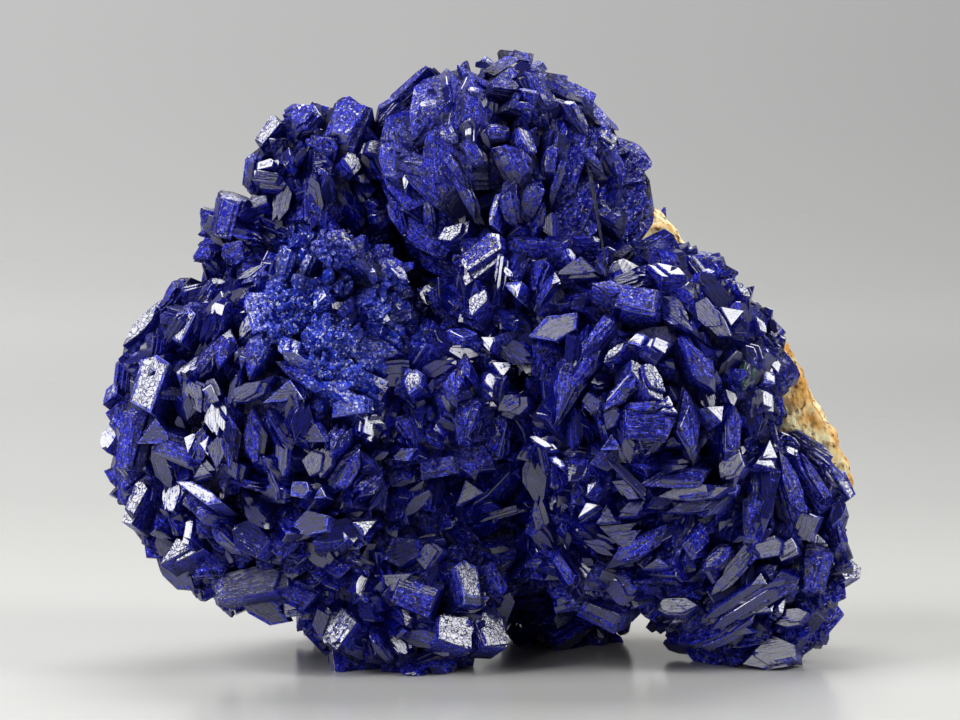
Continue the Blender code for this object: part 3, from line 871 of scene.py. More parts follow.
# How the known faces differ: ranges as shares of a face's length or width, unless a comment
# gives a unit.
LEDGES = (1, 2, 2, 3)  # a face and the ledges below it, as often as each is drawn
LEDGE_SLIP = ((-0.3, 0.3), (-0.4, 0.4))
LEDGE_STEP = (0.2, 0.5)  # millimetres
BROKEN_CORNER_CHANCE = 0.6
BROKEN_CORNER = ((-0.7, 0.7), (-0.3, 0.3))
BROKEN_SLOPE = (15, 40)  # degrees
FACE_BLOCK, TERRACE_BLOCK = 1.3, 1.5  # how much larger a block is than what is cut from it
SLANT_CHANCE = 0.7
SLANT_PLACE = (0.05, 0.25)
SLANT_SLOPE = (25, 50)  # degrees
SLANT_STRAY = 0.15  # radians
END_SLOPE_PLACE = 0.32
END_SLOPE = (35, 60)  # degrees
TERRACES = (3, 5)
TERRACE_GROWTH = (0.8, 0.1)  # the size of the uppermost, and how much larger each lower one is
TERRACE_SLIP = ((-0.07, 0.07), (-0.1, 0.1))
TERRACE_STEP = (0.12, 0.3)  # millimetres
BROAD_PULL, BROAD_SPREAD = 0.5, 0.2  # a broad side is turned this much to the eye, and strays


def outline_cuts(rng, outline, length, width):
    """The upright planes that give a face its outline, each a little out of its usual place."""
    corners = []
    for x, y in OUTLINES[outline]:
        x += rng.uniform(-1, 1) * OUTLINE_SCATTER
        y += rng.uniform(-1, 1) * OUTLINE_SCATTER
        corners.append(Vector((x * length / 2, y * width / 2, 0.0)))
    for start, end in zip(corners, corners[1:] + corners[:1]):
        normal = Vector((end.y - start.y, start.x - end.x, 0.0)).normalized()
        if normal.dot(start) > 0:
            yield start, normal


def cut_slab(size, top, cuts):
    """A slab of that length and width whose upper side is at the height of the top."""
    centre = top - Vector((0, 0, FACE_DEPTH / 2))
    return cut_block(Vector((*size, FACE_DEPTH)), centre, cuts, FACE_SHORTEST_EDGE)


def add_rim(slab, width):
    """Gives the slab's flat upper face a margin of its own."""
    mesh = slab.data
    bpy.context.tool_settings.mesh_select_mode = (False, False, True)
    for part in (mesh.vertices, mesh.edges):
        part.foreach_set("select", [False] * len(part))
    for face in mesh.polygons:
        level = face.normal.z > LEVEL and face.material_index == FACE_SLOT
        face.select = level and face.area > RIMMED_AREA
        if face.select:
            face.material_index = RIM_SLOT
    bpy.ops.object.mode_set(mode="EDIT")
    bpy.ops.mesh.inset(thickness=min(RIM_WIDTH, RIM_SHARE * width), depth=0.0)
    bpy.ops.object.mode_set(mode="OBJECT")
    for face in mesh.polygons:
        if face.select:
            face.material_index = FACE_SLOT
    bpy.context.tool_settings.mesh_select_mode = (True, False, False)


def slipped(rng, limits, length, width):
    """A slip along and across a face, within those shares of its length and width."""
    return Vector((uniform(rng, limits[0]) * length, uniform(rng, limits[1]) * width, 0))


def model_face(rng, outline, length, width):
    """A crystal with that outline whose flat end lies at zero, often over a lower ledge."""
    slabs = []
    bare_scene()
    for i in range(rng.choice(LEDGES)):
        slip = slipped(rng, LEDGE_SLIP, length, width) * (i > 0)
        drop = Vector((0, 0, -i * uniform(rng, LEDGE_STEP)))
        cuts = moved(outline_cuts(rng, outline, length, width), slip)
        if i == 0 and rng.random() < BROKEN_CORNER_CHANCE:
            end = rng.choice(BROKEN_CORNER[0]) * length / 2
            corner = Vector((end, uniform(rng, BROKEN_CORNER[1]) * width, 0))
            way = math.atan2(corner.y, corner.x)
            cuts.append((corner, slanting(uniform(rng, BROKEN_SLOPE), way)))
        size = (length * FACE_BLOCK, width * FACE_BLOCK)
        slabs.append(cut_slab(size, slip + drop, cuts))
        add_rim(slabs[-1], width)
    return join_all(slabs)


def model_terraced(rng, outline, length, width):
    """A crystal seen on its broad side, which growth layers step down in terraces."""
    slabs = []
    bare_scene()
    slopes = []  # the planes that cut every terrace, each as its place and its normal
    if rng.random() < SLANT_CHANCE:
        side = rng.choice((-1, 1))
        way = side * math.pi / 2 + rng.gauss(0, SLANT_STRAY)
        place = Vector((0, side * width * uniform(rng, SLANT_PLACE), 0))
        slopes.append((place, slanting(uniform(rng, SLANT_SLOPE), way)))
    end = rng.choice((-1, 1))
    normal = slanting(uniform(rng, END_SLOPE), (end < 0) * math.pi)
    slopes.insert(0, (Vector((end * length * END_SLOPE_PLACE, 0, 0)), normal))
    depth = 0.0
    for i in range(rng.randint(*TERRACES)):
        drop = Vector((0, 0, -depth))
        grown = TERRACE_GROWTH[0] + TERRACE_GROWTH[1] * i
        slip = slipped(rng, TERRACE_SLIP, length, width)
        cuts = moved(outline_cuts(rng, outline, length * grown, width * grown), slip)
        cuts += [(place * grown + drop, normal) for place, normal in slopes]
        size = (length * TERRACE_BLOCK, width * TERRACE_BLOCK)
        slabs.append(cut_slab(size, slip + drop, cuts))
        add_rim(slabs[-1], width)
        depth += uniform(rng, TERRACE_STEP)
    return join_all(slabs)


def facing_for(rng, normal, finish):
    """The way a face is turned: a white one mirrors a softbox and a grey one the pale card."""
    to_eye = (camera_place() - Vector(SIGHT)).normalized()
    if finish in BROAD_SIDES:
        return (normal + to_eye * BROAD_PULL + scatter(rng, BROAD_SPREAD)).normalized()
    boxes = ["front_card"] if finish == "grey" else ["key_left", "key_right", "top_back"]
    ways = [(to_eye + Vector(SOFTBOXES[box][0]).normalized()).normalized() for box in boxes]
    way = max(ways, key=lambda way: way.dot(normal))
    return (way + scatter(rng, GREY_SPREAD if finish == "grey" else 0.0)).normalized()


def upright_axes(facing, turn):
    """The axes of a face that looks that way, its length at that turn in the upright plane."""
    turn = math.radians(turn)
    along = Vector((math.cos(turn), 0.0, math.sin(turn)))
    along = (along - facing * along.dot(facing)).normalized()
    return along, facing.cross(along), facing


BROAD_TOP = 0.97  # the faces of a terraced crystal that look up more than this are its terraces
TERRACE_FROST, STEP_FROST = 0.7, 0.45
SHADE_DEPTH = 1.3  # painted shade: how far below its face a crystal is painted at its darkest
DARKEST = 0.1
PETAL_SHADE = (0.62, 0.5, 0.15)  # a petal's painted shade at its middle, its gain to the tip, its least


def model_known_faces(rng):
    """The known faces, gathered into three pieces: the crackled, the stained, and the clear, which holds
    all the other finishes.
    """
    clusters = {kind: Cluster(rng) for kind in FACE_PIECES}
    for x, z, outline, length, width, turn, finish in KNOWN_FACES:
        place, normal = seen_place(x, z)
        axes = upright_axes(facing_for(rng, normal, finish), turn)
        model = model_terraced if finish in BROAD_SIDES else model_face
        crystal = model(rng, outline, length, width)
        if finish == "petal":
            bend_crystal(crystal, length, uniform(rng, PETAL_BEND) * rng.choice((-1, 1)))
        shape = Shape(crystal)
        if finish in BROAD_SIDES:
            shape.frost = np.where(shape.slope > BROAD_TOP, TERRACE_FROST, STEP_FROST)
        cluster = clusters[finish if finish in clusters else "clear"]
        cluster.add(shape, axes, place)
        # painted shade: a known face's crystal is painted darker the deeper it runs below its face
        shade = np.clip(1.0 + shape.points[:, 2] / SHADE_DEPTH, DARKEST, 1.0)
        if finish == "petal":
            # painted shade: a petal is painted darker towards its root
            away = Vector((x - PETAL_ROOT[0], 0, z - PETAL_ROOT[1])).normalized()
            outward = np.array((axes[0].dot(away), axes[1].dot(away), 0.0))
            outward = shape.points @ outward / (length / 2)
            middle, gain, least = PETAL_SHADE
            shade = shade * np.clip(middle + gain * outward, least, 1.0)
        cluster.tip[-1][:] = shade
    return [cluster.build(f"azurite_{kind}_faces") for kind, cluster in clusters.items()]


# Lumps of powdery crust on the bruised rosette. A row gives where a lump shows, like a known
# face, its two half-sizes and its turn in degrees.
LUMPS = (
    (-10.9, 23.4, 1.8, 1.3, -20),
    (-14.6, 25.6, 0.9, 2.2, 4),
    (-13.1, 26.0, 0.8, 1.9, -6),
    (-10.2, 21.2, 2.6, 0.7, -8),
    (-12.9, 28.6, 1.3, 0.8, 30),
    (-10.6, 30.2, 1.4, 0.9, -10),
    (-9.2, 28.4, 0.9, 1.2, 20),
)
LUMP_SINK = 0.3  # a lump's middle lies this far behind the place where it shows
# The relief of the crust: the pattern, its size and its depth.
LUMP_RELIEF = (("CLOUDS", 1.6, 1.8), ("VORONOI", 0.9, -0.7), ("CLOUDS", 0.35, 0.45))
LUMP_HEIGHT = (0.8, 0.3)  # a lump's height: a share of its narrower half-size, plus millimetres
CRUST_FROST = 0.9
CRUST_CRYSTALS = 26  # small crystals that stand on each lump
CRUST_LEAN = 0.35  # how far they lean out of the lump's own way out
CRUST_SIZES = (0.25, 0.5)


def model_lump(across, up):
    """An uneven lump of crust with a granular surface."""
    bare_scene()
    share, least = LUMP_HEIGHT
    half_sizes = (across, up, share * min(across, up) + least)
    bpy.ops.mesh.primitive_ico_sphere_add(subdivisions=5, radius=1.0, scale=half_sizes)
    bpy.ops.object.transform_apply(location=True, rotation=True, scale=True)
    lump = bpy.context.object
    for kind, size, depth in LUMP_RELIEF:
        displace(lump, kind, size, depth, unit=1.0)
    return lump


def standing_axes(rng, direction, lean):
    """The axes of a small crystal that stands out about that way, turned at random."""
    out = (direction + scatter(rng, lean)).normalized()
    turn = Matrix.Rotation(rng.uniform(0, math.pi), 3, "Z")
    own = out.to_track_quat("Z", "X").to_matrix() @ turn
    return np.array(own.transposed())


def model_crust(rng):
    """Lumps of powder with small crystals standing on them."""
    cluster = Cluster(rng)
    grains = crystal_shapes(rng, "small")
    for x, z, across, up, turn in LUMPS:
        place, normal = seen_place(x, z)
        axes = upright_axes(facing_for(rng, normal, "blue"), turn)
        shape = Shape(model_lump(across, up))
        shape.frost[:] = CRUST_FROST
        place = place - axes[2] * LUMP_SINK
        cluster.add(shape, axes, place)
        cluster.tip[-1][:] = 1.0
        for _ in range(CRUST_CRYSTALS):
            foot = Vector(rng.choice(shape.points))
            foot.z = abs(foot.z)
            turned = standing_axes(rng, foot.normalized(), CRUST_LEAN) @ np.array(axes)
            foot = Vector(np.array(foot) @ np.array(axes)) + place
            cluster.add(rng.choice(grains), turned, foot, uniform(rng, CRUST_SIZES))
            cluster.tip[-1][:] = 1.0
    return cluster.build("azurite_powdery_crust")


# ------------------------------------------------------------------------------ the rock

ROCK_CENTRE = (11.8, 7.9, 18.5)
ROCK_RADII = (19.0, 8.0, 16.5)
# The flat breaks of the rock: which way each faces and how far it lies from the centre.
ROCK_BREAKS = (
    ((0.745, 0.0, 0.667), 10.5),
    ((0.892, 0.0, 0.452), 12.0),
    ((0.05, 1.0, 0.1), 7.3),
    ((-0.35, 0.9, 0.5), 8.0),
    ((0.45, 0.85, -0.35), 9.2),
    ((-0.2, 0.8, -0.6), 9.0),
    ((0.5, 0.75, 0.5), 10.6),
    ((-1.0, 0.2, 0.3), 13.0),
    ((0.1, 0.1, -1.0), 13.2),
    ((0.2, 0.3, 1.0), 13.6),
)
ROCK_GRAIN = 0.33  # the size of the rock's smallest modelled relief
# The relief of the rock, from broken lumps to pores: the pattern, its size and its depth.
ROCK_RELIEF = (("CLOUDS", 5.0, 2.4), ("VORONOI", 2.1, -0.6), ("CLOUDS", 0.7, 0.6))


def displace(obj, kind, size, depth, unit=MM):
    """Gives an object relief, raised and sunk by up to half of the depth."""
    texture = bpy.data.textures.new("relief", kind)
    texture.noise_scale = size * unit
    if kind == "CLOUDS":
        texture.noise_depth = 3
        texture.noise_basis = "ORIGINAL_PERLIN"
    modifier = obj.modifiers.new("Relief", "DISPLACE")
    modifier.texture = texture
    modifier.texture_coords = "LOCAL"
    modifier.strength = depth * unit
    modifier.mid_level = 0.5
    bpy.ops.object.modifier_apply(modifier=modifier.name)


def model_rock():
    """The broken piece of limonite that the rosettes grew on, porous and crumbling."""
    bare_scene()
    bpy.ops.mesh.primitive_ico_sphere_add(
        subdivisions=5,
        radius=MM,
        location=Vector(ROCK_CENTRE) * MM,
        scale=ROCK_RADII,
    )
    bpy.ops.object.transform_apply(location=True, rotation=True, scale=True)
    rock = bpy.context.object
    breaks = []
    for normal, distance in ROCK_BREAKS:
        normal = Vector(normal).normalized()
        breaks.append(((Vector(ROCK_CENTRE) + normal * distance) * MM, normal))
    bpy.ops.object.mode_set(mode="EDIT")
    cut_along(breaks)
    bpy.ops.object.mode_set(mode="OBJECT")
    remesh = rock.modifiers.new("Remesh", "REMESH")
    remesh.mode = "VOXEL"
    remesh.voxel_size = ROCK_GRAIN * MM
    bpy.ops.object.modifier_apply(modifier=remesh.name)
    for kind, size, depth in ROCK_RELIEF:
        displace(rock, kind, size, depth)
    bpy.ops.object.shade_smooth()
    rock.name = "limonite_broken_rock"
    return rock


STRAY_CLUMPS = 46  # small tufts of azurite on the rock
STRAYS = (3, 12)  # crystals in a tuft
STRAY_SPREAD = 0.55
STRAY_REACH = 2.5  # a tuft ends at this many times its spread
STRAY_LEAN = 0.4
STRAY_SIZES = (0.3, 0.7)
STRAYS_BEHIND = 0.45  # they keep to the parts of the rock that face backwards


def model_strays(rng, rock):
    """Small azurite crystals scattered in tufts over the rock."""
    grains = crystal_shapes(rng, "small")
    cluster = Cluster(rng)
    vertices = [v for v in rock.data.vertices if v.normal.y > STRAYS_BEHIND]
    spots = [(v.co / MM, v.normal.copy()) for v in vertices]
    for _ in range(STRAY_CLUMPS):
        middle, normal = rng.choice(spots)
        near = [spot for spot in spots if (spot[0] - middle).length < STRAY_REACH * STRAY_SPREAD]
        for _ in range(rng.randint(*STRAYS)):
            foot, _ = rng.choice(near)
            axes = standing_axes(rng, normal, STRAY_LEAN)
            cluster.add(rng.choice(grains), axes, foot, uniform(rng, STRAY_SIZES))
    return cluster.build("azurite_strays_on_rock")


# ------------------------------------------------------------------------------ the finishes


def linear(hex_colour):
    """An sRGB hex colour as linear red, green, blue and alpha."""
    parts = [int(hex_colour[i : i + 2], 16) / 255 for i in (0, 2, 4)]
    return tuple(c / 12.92 if c <= 0.04045 else ((c + 0.055) / 1.055) ** 2.4 for c in parts) + (1.0,)


def connect(node, inputs):
    """Sets the inputs of a node, each to a value or to another node's output."""
    for key, value in inputs.items():
        if isinstance(value, bpy.types.NodeSocket):
            node.id_data.links.new(value, node.inputs[key])
        else:
            node.inputs[key].default_value = value


def add_node(tree, kind, inputs=(), output=0, **settings):
    """Adds a node with its settings and its inputs, by name or in their order."""
    node = tree.nodes.new("ShaderNode" + kind)
    for name, value in settings.items():
        setattr(node, name, value)
    connect(node, inputs if isinstance(inputs, dict) else dict(enumerate(inputs)))
    return node.outputs[output]


def new_material(name):
    """A material, the function that adds nodes to it, and its shader."""
    material = bpy.data.materials.new(name)
    material.use_nodes = True
    tree = material.node_tree
    return material, partial(add_node, tree), tree.nodes["Principled BSDF"]


def coated(node, base, coats):
    """The colour of a base under its coats, from the lowest up.

    A coat is how far it covers what is below it, as one factor or more, and its own colour.
    """
    for cover, *factors, colour in coats:
        for factor in factors:
            cover = node("Math", (cover, factor), operation="MULTIPLY")
        base = node("Mix", {0: cover, 6: base, 7: linear(colour)}, 2, data_type="RGBA")
    return base


AZURITE_IOR = 1.84  # the highest of azurite's three, and malachite's is about the same

# The patterns in the finishes: how many of their marks come to a millimetre. The striations and
# the worn streaks have three numbers, for along the grain, across it and through.
STRIATIONS = (0.6, 9.0, 1.0)
WORN_STREAKS = (1.5, 5.5, 1.0)
SPECKS = 4.2
GRIT = 8.0
PATCHES = 0.9
CRUST_GRAINS = 6.5  # coarser than the real ones, which would be too fine to show
CRACKS = 2.7
CRACK_WAVES = 1.5
MALACHITE_SPOTS = 1.6
LIMONITE_STAINS = 0.15
LIMONITE_SPECKS = 1.5
LIMONITE_PORES = 1.3

# Depths of relief that is only shaded, in millimetres.
STRIATION_DEPTH = 0.1
GRIT_DEPTH = 0.06
CRACK_DEPTH = 0.1
CRACK_SWING = 1.2  # how far the cracks wander sideways
MALACHITE_DEPTH = 0.2
CRUMB_DEPTH = 0.4
PORE_DEPTH = 0.3

# The two looks of azurite: facets that mirror the lamps, and the crust that scatters blue.
GLASSY = {"Roughness": 0.08, "Specular IOR Level": 0.5}
CRUSTED = {"Roughness": 0.42, "Specular IOR Level": 0.13}


def grown_azurite(name="azurite_crystal_grown_faces", crackle=0.0, granular=False):
    """Azurite as it grew: glassy end faces, and striated sides that scatter royal blue.

    The crackle of a weathered face is how plainly its cracks show. A granular crust has painted
    shade in its cracks, and more of its grains flash.
    """
    material, node, glassy = new_material(name)
    place = node("TexCoord", output="Object")
    grain = node("UVMap", output="UV", uv_map="grain")
    edge, frost, bruise, tip, rim = (
        node("Attribute", output="Fac", attribute_name=label) for label in ATTRIBUTES
    )
    lines = node("Mapping", {"Vector": grain, "Scale": STRIATIONS})
    lines = node("TexNoise", {"Vector": lines, "Scale": 1.0, "Detail": 3.0, "Roughness": 0.6})
    streaks = node("Mapping", {"Vector": grain, "Scale": WORN_STREAKS})
    streaks = node("TexNoise", {"Vector": streaks, "Scale": 1.0, "Detail": 3.0, "Roughness": 0.7})
    specks, grit, patches = (
        node("TexNoise", {"Vector": place, "Scale": marks / MM, "Detail": detail, "Roughness": 0.6})
        for marks, detail in ((SPECKS, 2.0), (GRIT, 1.0), (PATCHES, 2.0))
    )
    grains = node("TexVoronoi", {"Vector": place, "Scale": CRUST_GRAINS / MM}, "Color")
    shades = node("SeparateColor", (grains,)).node.outputs

    # Where two numbers follow a pattern, they are its contrast and its offset.
    # how far a face is the frosted, scattering kind rather than a mirror-like end face
    frosted = node("Math", (frost, 3.2, -1.1), operation="MULTIPLY_ADD")
    for pattern, weight in ((specks, 2.2), (patches, 2.0), (grit, 1.4), (lines, 2.4)):
        swing = node("Math", (pattern, 0.5), operation="SUBTRACT")
        frosted = node("Math", (swing, weight, frosted), operation="MULTIPLY_ADD")
    for margin, weight in ((edge, 0.8), (rim, 1.5)):
        frosted = node("Math", (margin, weight, frosted), operation="MULTIPLY_ADD")
    swing = node("Math", (specks, 0.5), operation="SUBTRACT")
    powder = node("Math", (swing, 2.0, bruise), operation="MULTIPLY_ADD", use_clamp=True)
    bruised = node("Math", (bruise, 4.0), operation="MULTIPLY", use_clamp=True)
    powder = node("Math", (powder, bruised), operation="MULTIPLY")
    frosted = node("Math", (frosted, powder), operation="ADD", use_clamp=True)
    # the crests of the striations scatter the most
    swing = node("Math", (grit, 0.5), operation="SUBTRACT")
    crests = node("Math", (swing, 0.7, lines), operation="MULTIPLY_ADD")
    crests = node("Math", (crests, 14.0, -7.7), operation="MULTIPLY_ADD", use_clamp=True)
    # the frosting is a crust of minute crystals that differ at random: a few are pale, partly
    # their own paler crust and partly painted glints, and where the surface is bruised they differ
    # much more, with dark ones painted as grains in shade and near-white ones as painted glints
    pale = node("Math", (shades[1], 30.0, -28.8), operation="MULTIPLY_ADD", use_clamp=True)
    dark = node("Math", (shades[2], -6.0, 2.6), operation="MULTIPLY_ADD", use_clamp=True)
    white = node("Math", (shades[2], 10.0, -8.4), operation="MULTIPLY_ADD", use_clamp=True)
    # dark streaks, where the crust is worn away
    worn = node("Math", (streaks, -18.0, 8.9), operation="MULTIPLY_ADD", use_clamp=True)
    unhealed = node("Math", (powder, -0.5, 0.95), operation="MULTIPLY_ADD")
    coats = (
        (frosted, "0A0AAE"),
        (crests, frosted, "4A58FF"),
        # painted highlight: the worn edges are painted pale lilac as a highlight along them, and the
        # frosted rims a lighter blue, partly their frosting and partly a painted highlight
        (edge, 0.8, "8A92FF"),
        (rim, frosted, 0.6, "5660FC"),
        (powder, 0.85, "2A54FF"),
        # painted glints and painted shade on the grains of the crust, partly their own paler tone
        (frosted, 0.8, pale, "9AA2FF"),
        (powder, 0.9, dark, "0606A0"),
        (white, powder, "DCE2FF"),
        (worn, unhealed, "02022A"),
    )
    colour = coated(node, linear("080C68"), coats)
    # painted shade: low on their crystals, in the gaps between them, the crystals are painted dark blue
    painted_lit_share = node("Math", (tip, 1.4, -0.1), operation="MULTIPLY_ADD", use_clamp=True)
    colour = node("Mix", {0: painted_lit_share, 6: linear("030332"), 7: colour}, 2, data_type="RGBA")
    strength = node("Math", (frosted, 0.8, 0.2), operation="MULTIPLY_ADD")
    inputs = {"Height": lines, "Strength": strength, "Distance": STRIATION_DEPTH * MM}
    relief = node("Bump", inputs)
    inputs = {"Height": grit, "Strength": frosted, "Distance": GRIT_DEPTH * MM, "Normal": relief}
    relief = node("Bump", inputs)
    if crackle:
        waves = node("TexNoise", {"Vector": place, "Scale": CRACK_WAVES / MM, "Detail": 3.0}, "Color")
        waves = node("VectorMath", {0: waves, "Scale": CRACK_SWING * MM}, operation="SCALE")
        wandering = node("VectorMath", (place, waves), operation="ADD")
        inputs = {"Vector": wandering, "Scale": CRACKS / MM}
        cracks = node("TexVoronoi", inputs, "Distance", feature="DISTANCE_TO_EDGE")
        closed = node("Math", (patches, 0.55), operation="SUBTRACT")
        closed = node("Math", (closed, 2.5), operation="MULTIPLY")
        whole = node("Math", (cracks, 16.0, closed), operation="MULTIPLY_ADD", use_clamp=True)
        inputs = {"Height": whole, "Strength": crackle, "Distance": CRACK_DEPTH * MM}
        relief = node("Bump", inputs | {"Normal": relief})
        if granular:
            # painted shade in the open cracks of the granular crust
            open_cracks = node("Math", (whole, -1.3, 0.8), operation="MULTIPLY_ADD", use_clamp=True)
            colour = coated(node, colour, ((open_cracks, "0A0A70"),))

    # each grain of the crust is turned its own way, and a share of them flash like glass
    spread = node("Math", (frosted, 0.95), operation="MULTIPLY")
    spread = node("Math", (powder, 0.6, spread), operation="MULTIPLY_ADD")
    turns = node("VectorMath", (grains, (0.5, 0.5, 0.5)), operation="SUBTRACT")
    turns = node("VectorMath", {0: turns, "Scale": spread}, operation="SCALE")
    facing = node("VectorMath", (relief, turns), operation="ADD")
    facing = node("VectorMath", (facing,), operation="NORMALIZE")
    flashing = node("Math", (shades[0], 0.45 if granular else 0.64), operation="GREATER_THAN")
    dull = node("Math", (1.0, flashing), operation="SUBTRACT")
    dull = node("Math", (frosted, dull), operation="MULTIPLY")
    # the painted shade also turns the gaps to the dull crust, which dims their reflections
    painted_shade_share = node("Math", (1.0, painted_lit_share), operation="SUBTRACT")
    dull = node("Math", (dull, painted_shade_share), operation="MAXIMUM")
    look = {"Base Color": colour, "Normal": facing, "IOR": AZURITE_IOR}
    connect(glassy, look | GLASSY)
    crusted = node("BsdfPrincipled", look | CRUSTED)
    surface = node("MixShader", (dull, glassy.outputs[0], crusted))
    connect(material.node_tree.nodes["Material Output"], {"Surface": surface})
    return material


def malachite_film():
    """A thin film of malachite over azurite: dark bottle green, with the blue showing through."""
    material, node, shader = new_material("malachite_film_on_azurite")
    place = node("TexCoord", output="Object")
    spots = node("TexNoise", {"Vector": place, "Scale": MALACHITE_SPOTS / MM, "Detail": 4.0})
    covered = node("MapRange", (spots, 0.42, 0.58))
    inputs = {"Height": spots, "Strength": 0.6, "Distance": MALACHITE_DEPTH * MM}
    look = {
        "Base Color": coated(node, linear("08105A"), ((covered, "12402E"),)),
        "Normal": node("Bump", inputs),
        "Roughness": 0.28,
        "IOR": AZURITE_IOR,
    }
    connect(shader, look)
    return material


def porous_limonite():
    """Limonite: an earthy cream-yellow, stained orange and brown in its hollows."""
    material, node, shader = new_material("limonite_broken_earthy")
    place = node("TexCoord", output="Object")
    inputs = {"Vector": place, "Scale": LIMONITE_STAINS / MM, "Detail": 8.0, "Roughness": 0.65}
    stain = node("TexNoise", inputs)
    speck = node("TexNoise", {"Vector": place, "Scale": LIMONITE_SPECKS / MM, "Detail": 5.0})
    pores = node("TexVoronoi", {"Vector": place, "Scale": LIMONITE_PORES / MM}, "Distance")
    # a row gives where in its pattern a coat starts, where it is full, and its colour
    coats = (
        (stain, 0.50, 0.62, "EBAA48"),
        (stain, 0.60, 0.74, "A86A2C"),
        (speck, 0.50, 0.66, "C08A40"),
        (speck, 0.60, 0.68, "6A3A14"),
        (pores, 0.16, 0.04, "5A3418"),
    )
    coats = [(node("MapRange", (pattern, start, full)), colour) for pattern, start, full, colour in coats]
    crumbs = node("Bump", {"Height": speck, "Strength": 1.0, "Distance": CRUMB_DEPTH * MM})
    inputs = {"Height": node("MapRange", (pores, 0.0, 0.35)), "Strength": 0.7}
    pitted = node("Bump", inputs | {"Distance": PORE_DEPTH * MM, "Normal": crumbs})
    colour = coated(node, linear("FFF2BE"), coats)
    connect(shader, {"Base Color": colour, "Normal": pitted, "Roughness": 0.85})
    return material


# ------------------------------------------------------------------------------ the studio

VIEW_WIDTH = 70.56  # what the image spans at the distance of the sight point
SENSOR = 36.0


def add_camera():
    """A camera at the place that the known faces are laid out from."""
    back = (camera_place() - Vector(SIGHT)).normalized()
    camera = bpy.data.objects.new("camera", bpy.data.cameras.new("camera"))
    bpy.context.scene.collection.objects.link(camera)
    camera.location = camera_place() * MM
    camera.rotation_euler = (-back).to_track_quat("-Z", "Y").to_euler()
    camera.data.sensor_width = SENSOR
    camera.data.lens = SENSOR * CAMERA_DISTANCE / VIEW_WIDTH
    camera.data.clip_start = 0.01
    bpy.context.scene.camera = camera


# One softbox a row: the direction that it shines from, its distance, its width and height, and
# its radiance, where a lit white sheet is about 1.
SOFTBOXES = {
    "key_left": ((-0.70, -0.30, 0.65), 700.0, (370.0, 370.0), 10.5),
    "key_right": ((0.75, -0.25, 0.62), 700.0, (240.0, 350.0), 10.5),
    "top_back": ((0.05, 0.50, 0.86), 700.0, (460.0, 310.0), 10.0),
    "front_card": ((-0.45, -0.80, 0.25), 900.0, (460.0, 460.0), 0.95),
    "front_strip": ((-0.33, -0.86, 0.31), 870.0, (130.0, 440.0), 3.2),
}
SURROUNDINGS = 0.10  # the radiance of the rest of the room


def add_softboxes():
    """The lamps and the dim, nearly white room around them."""
    for name, (direction, distance, size, radiance) in SOFTBOXES.items():
        lamp = bpy.data.lights.new(name, "AREA")
        lamp.shape = "RECTANGLE"
        lamp.size, lamp.size_y = size[0] * MM, size[1] * MM
        lamp.energy = radiance * math.pi * lamp.size * lamp.size_y
        softbox = bpy.data.objects.new(name, lamp)
        bpy.context.scene.collection.objects.link(softbox)
        direction = Vector(direction).normalized()
        softbox.location = (Vector(SIGHT) + direction * distance) * MM
        softbox.rotation_euler = direction.to_track_quat("Z", "Y").to_euler()
    world = bpy.data.worlds.new("studio")
    world.use_nodes = True
    backdrop = world.node_tree.nodes["Background"]
    backdrop.inputs["Color"].default_value = linear("FFFFFA")
    backdrop.inputs["Strength"].default_value = SURROUNDINGS
    bpy.context.scene.world = world


FLOOR_SIZE = 3000.0
WALL_PLACE = 900.0  # how far behind the specimen the sheet has curved up to a wall
WALL_HEIGHT = 1500.0
WALL_CURVE = 600.0
CURVE_SEGMENTS = 24
GLOW_SPAN = (40.0, 500.0)  # where, behind the specimen, the sheet starts to glow with painted light, though it is no lamp


# Painted light and shade on the sheet: how bright it is painted at distances behind the specimen,
# where plain paint is 1, and how much darker it is painted at the right than at the left.
SHEET_PAINTED_LIGHT = (
    (0.0, 0.97), (30.0, 0.90), (98.0, 0.74), (197.0, 0.69),
    (351.0, 0.75), (625.0, 1.2), (890.0, 1.6),
)
SHEET_SPAN = 1000.0
RIGHT_PAINTED_SHADE = 0.22
RIGHT_SPAN = (30.0, 220.0)  # where, behind the specimen, that painted shade at the right sets in
SIDE_SPAN = (-0.1, 0.1)  # from the left to the right, as a share of the depth of view
SHEET_GLOW = 0.28


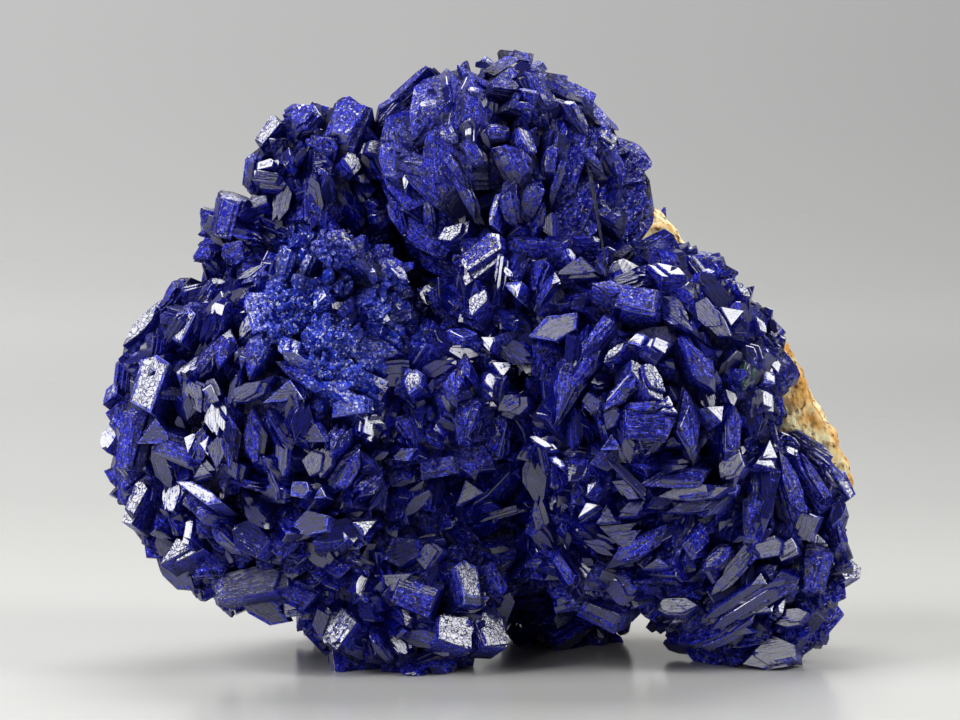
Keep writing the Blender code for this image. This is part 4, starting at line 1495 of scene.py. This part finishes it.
def sheet_with_painted_light():
    """Pale acrylic: glossy under the specimen, and glowing with painted light further back; its painted
    brightness changes with distance and side.
    """
    material, node, shader = new_material("pale_acrylic_sheet_painted_light")
    place = node("TexCoord", output="Object")
    x, y, _ = node("SeparateXYZ", (place,)).node.outputs
    limits = (GLOW_SPAN[0] * MM, GLOW_SPAN[1] * MM)
    back = node("MapRange", (y, *limits), interpolation_type="SMOOTHSTEP")
    painted_light_ramp = node("ValToRGB", (node("MapRange", (y, 0.0, SHEET_SPAN * MM)),))
    stops = painted_light_ramp.node.color_ramp.elements
    for i, (distance, painted_light_level) in enumerate(SHEET_PAINTED_LIGHT):
        stop = stops[i] if i < 2 else stops.new(distance / SHEET_SPAN)
        stop.position = distance / SHEET_SPAN
        stop.color = (painted_light_level, painted_light_level, painted_light_level, 1.0)
    depth = node("Math", (y, CAMERA_DISTANCE * MM), operation="ADD")
    side = node("Math", (x, depth), operation="DIVIDE")
    side = node("MapRange", (side, *SIDE_SPAN))
    setting_in = node("MapRange", (y, RIGHT_SPAN[0] * MM, RIGHT_SPAN[1] * MM))
    painted_right_shade = node("Math", (side, setting_in), operation="MULTIPLY")
    kept = node("Math", (painted_right_shade, -RIGHT_PAINTED_SHADE, 1.0), operation="MULTIPLY_ADD")
    painted_light_level = node("Math", (painted_light_ramp, kept), operation="MULTIPLY")
    # further back the paint is darker grey, and the painted glow adds to its brightness
    colour = coated(node, linear("C8C8C5"), ((back, "68686A"),))
    glow = node("Math", (back, SHEET_GLOW), operation="MULTIPLY")
    # painted light: the colour and the glow are both scaled by the painted brightness
    look = {
        "Base Color": node("VectorMath", {0: colour, "Scale": painted_light_level}, operation="SCALE"),
        "Emission Color": linear("FFFFFC"),
        "Emission Strength": node("Math", (glow, painted_light_level), operation="MULTIPLY"),
        "Roughness": 0.18,
    }
    connect(shader, look)
    return material


def add_floor():
    """A pale glossy sheet that curves up behind the specimen, and is no part of it."""
    bare_scene()
    middle = WALL_PLACE - FLOOR_SIZE / 2
    bpy.ops.mesh.primitive_plane_add(size=FLOOR_SIZE * MM, location=(0, middle * MM, 0))
    floor = bpy.context.object
    floor.name = "floor"
    bpy.ops.object.transform_apply(location=True, rotation=False, scale=False)
    for edge in floor.data.edges:
        ends = [floor.data.vertices[i].co.y for i in edge.vertices]
        edge.select = min(ends) > (WALL_PLACE - 1) * MM
    for polygon in floor.data.polygons:
        polygon.select = False
    for vertex in floor.data.vertices:
        vertex.select = vertex.co.y > (WALL_PLACE - 1) * MM
    bpy.ops.object.mode_set(mode="EDIT")
    bpy.ops.mesh.select_mode(type="EDGE")
    bpy.ops.mesh.extrude_region_move(TRANSFORM_OT_translate={"value": (0, 0, WALL_HEIGHT * MM)})
    bpy.ops.object.mode_set(mode="OBJECT")
    curve = floor.modifiers.new("Curve", "BEVEL")
    curve.width = WALL_CURVE * MM
    curve.segments = CURVE_SEGMENTS
    curve.limit_method = "ANGLE"
    bpy.ops.object.modifier_apply(modifier=curve.name)
    bpy.ops.object.shade_smooth()
    floor.data.materials.append(sheet_with_painted_light())


def main():
    rng = random.Random(SEED)
    azurite = grown_azurite()
    crackled = grown_azurite("azurite_crystal_weathered_faces", 0.4)
    powdery = grown_azurite("azurite_powdery_granular_crust", 0.8, granular=True)
    clear_faces, crackled_faces, stained_faces = model_known_faces(random.Random(SEED))
    crust = model_crust(random.Random(SEED))
    pieces = model_azurite(rng)
    crust.data.materials.append(powdery)
    rock = model_rock()
    strays = model_strays(rng, rock)
    for piece in pieces + [clear_faces, strays]:
        piece.data.materials.append(azurite)
    crackled_faces.data.materials.append(crackled)
    stained_faces.data.materials.append(malachite_film())
    for piece in pieces + [clear_faces, crackled_faces, stained_faces, crust, strays]:
        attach(piece, "root")
        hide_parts("azurite_rosettes")
    rock.data.materials.append(porous_limonite())
    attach(rock, "root")
    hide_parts("limonite_rock")
    add_floor()
    add_camera()
    add_softboxes()
    bpy.context.scene.view_settings.view_transform = "Standard"


main()
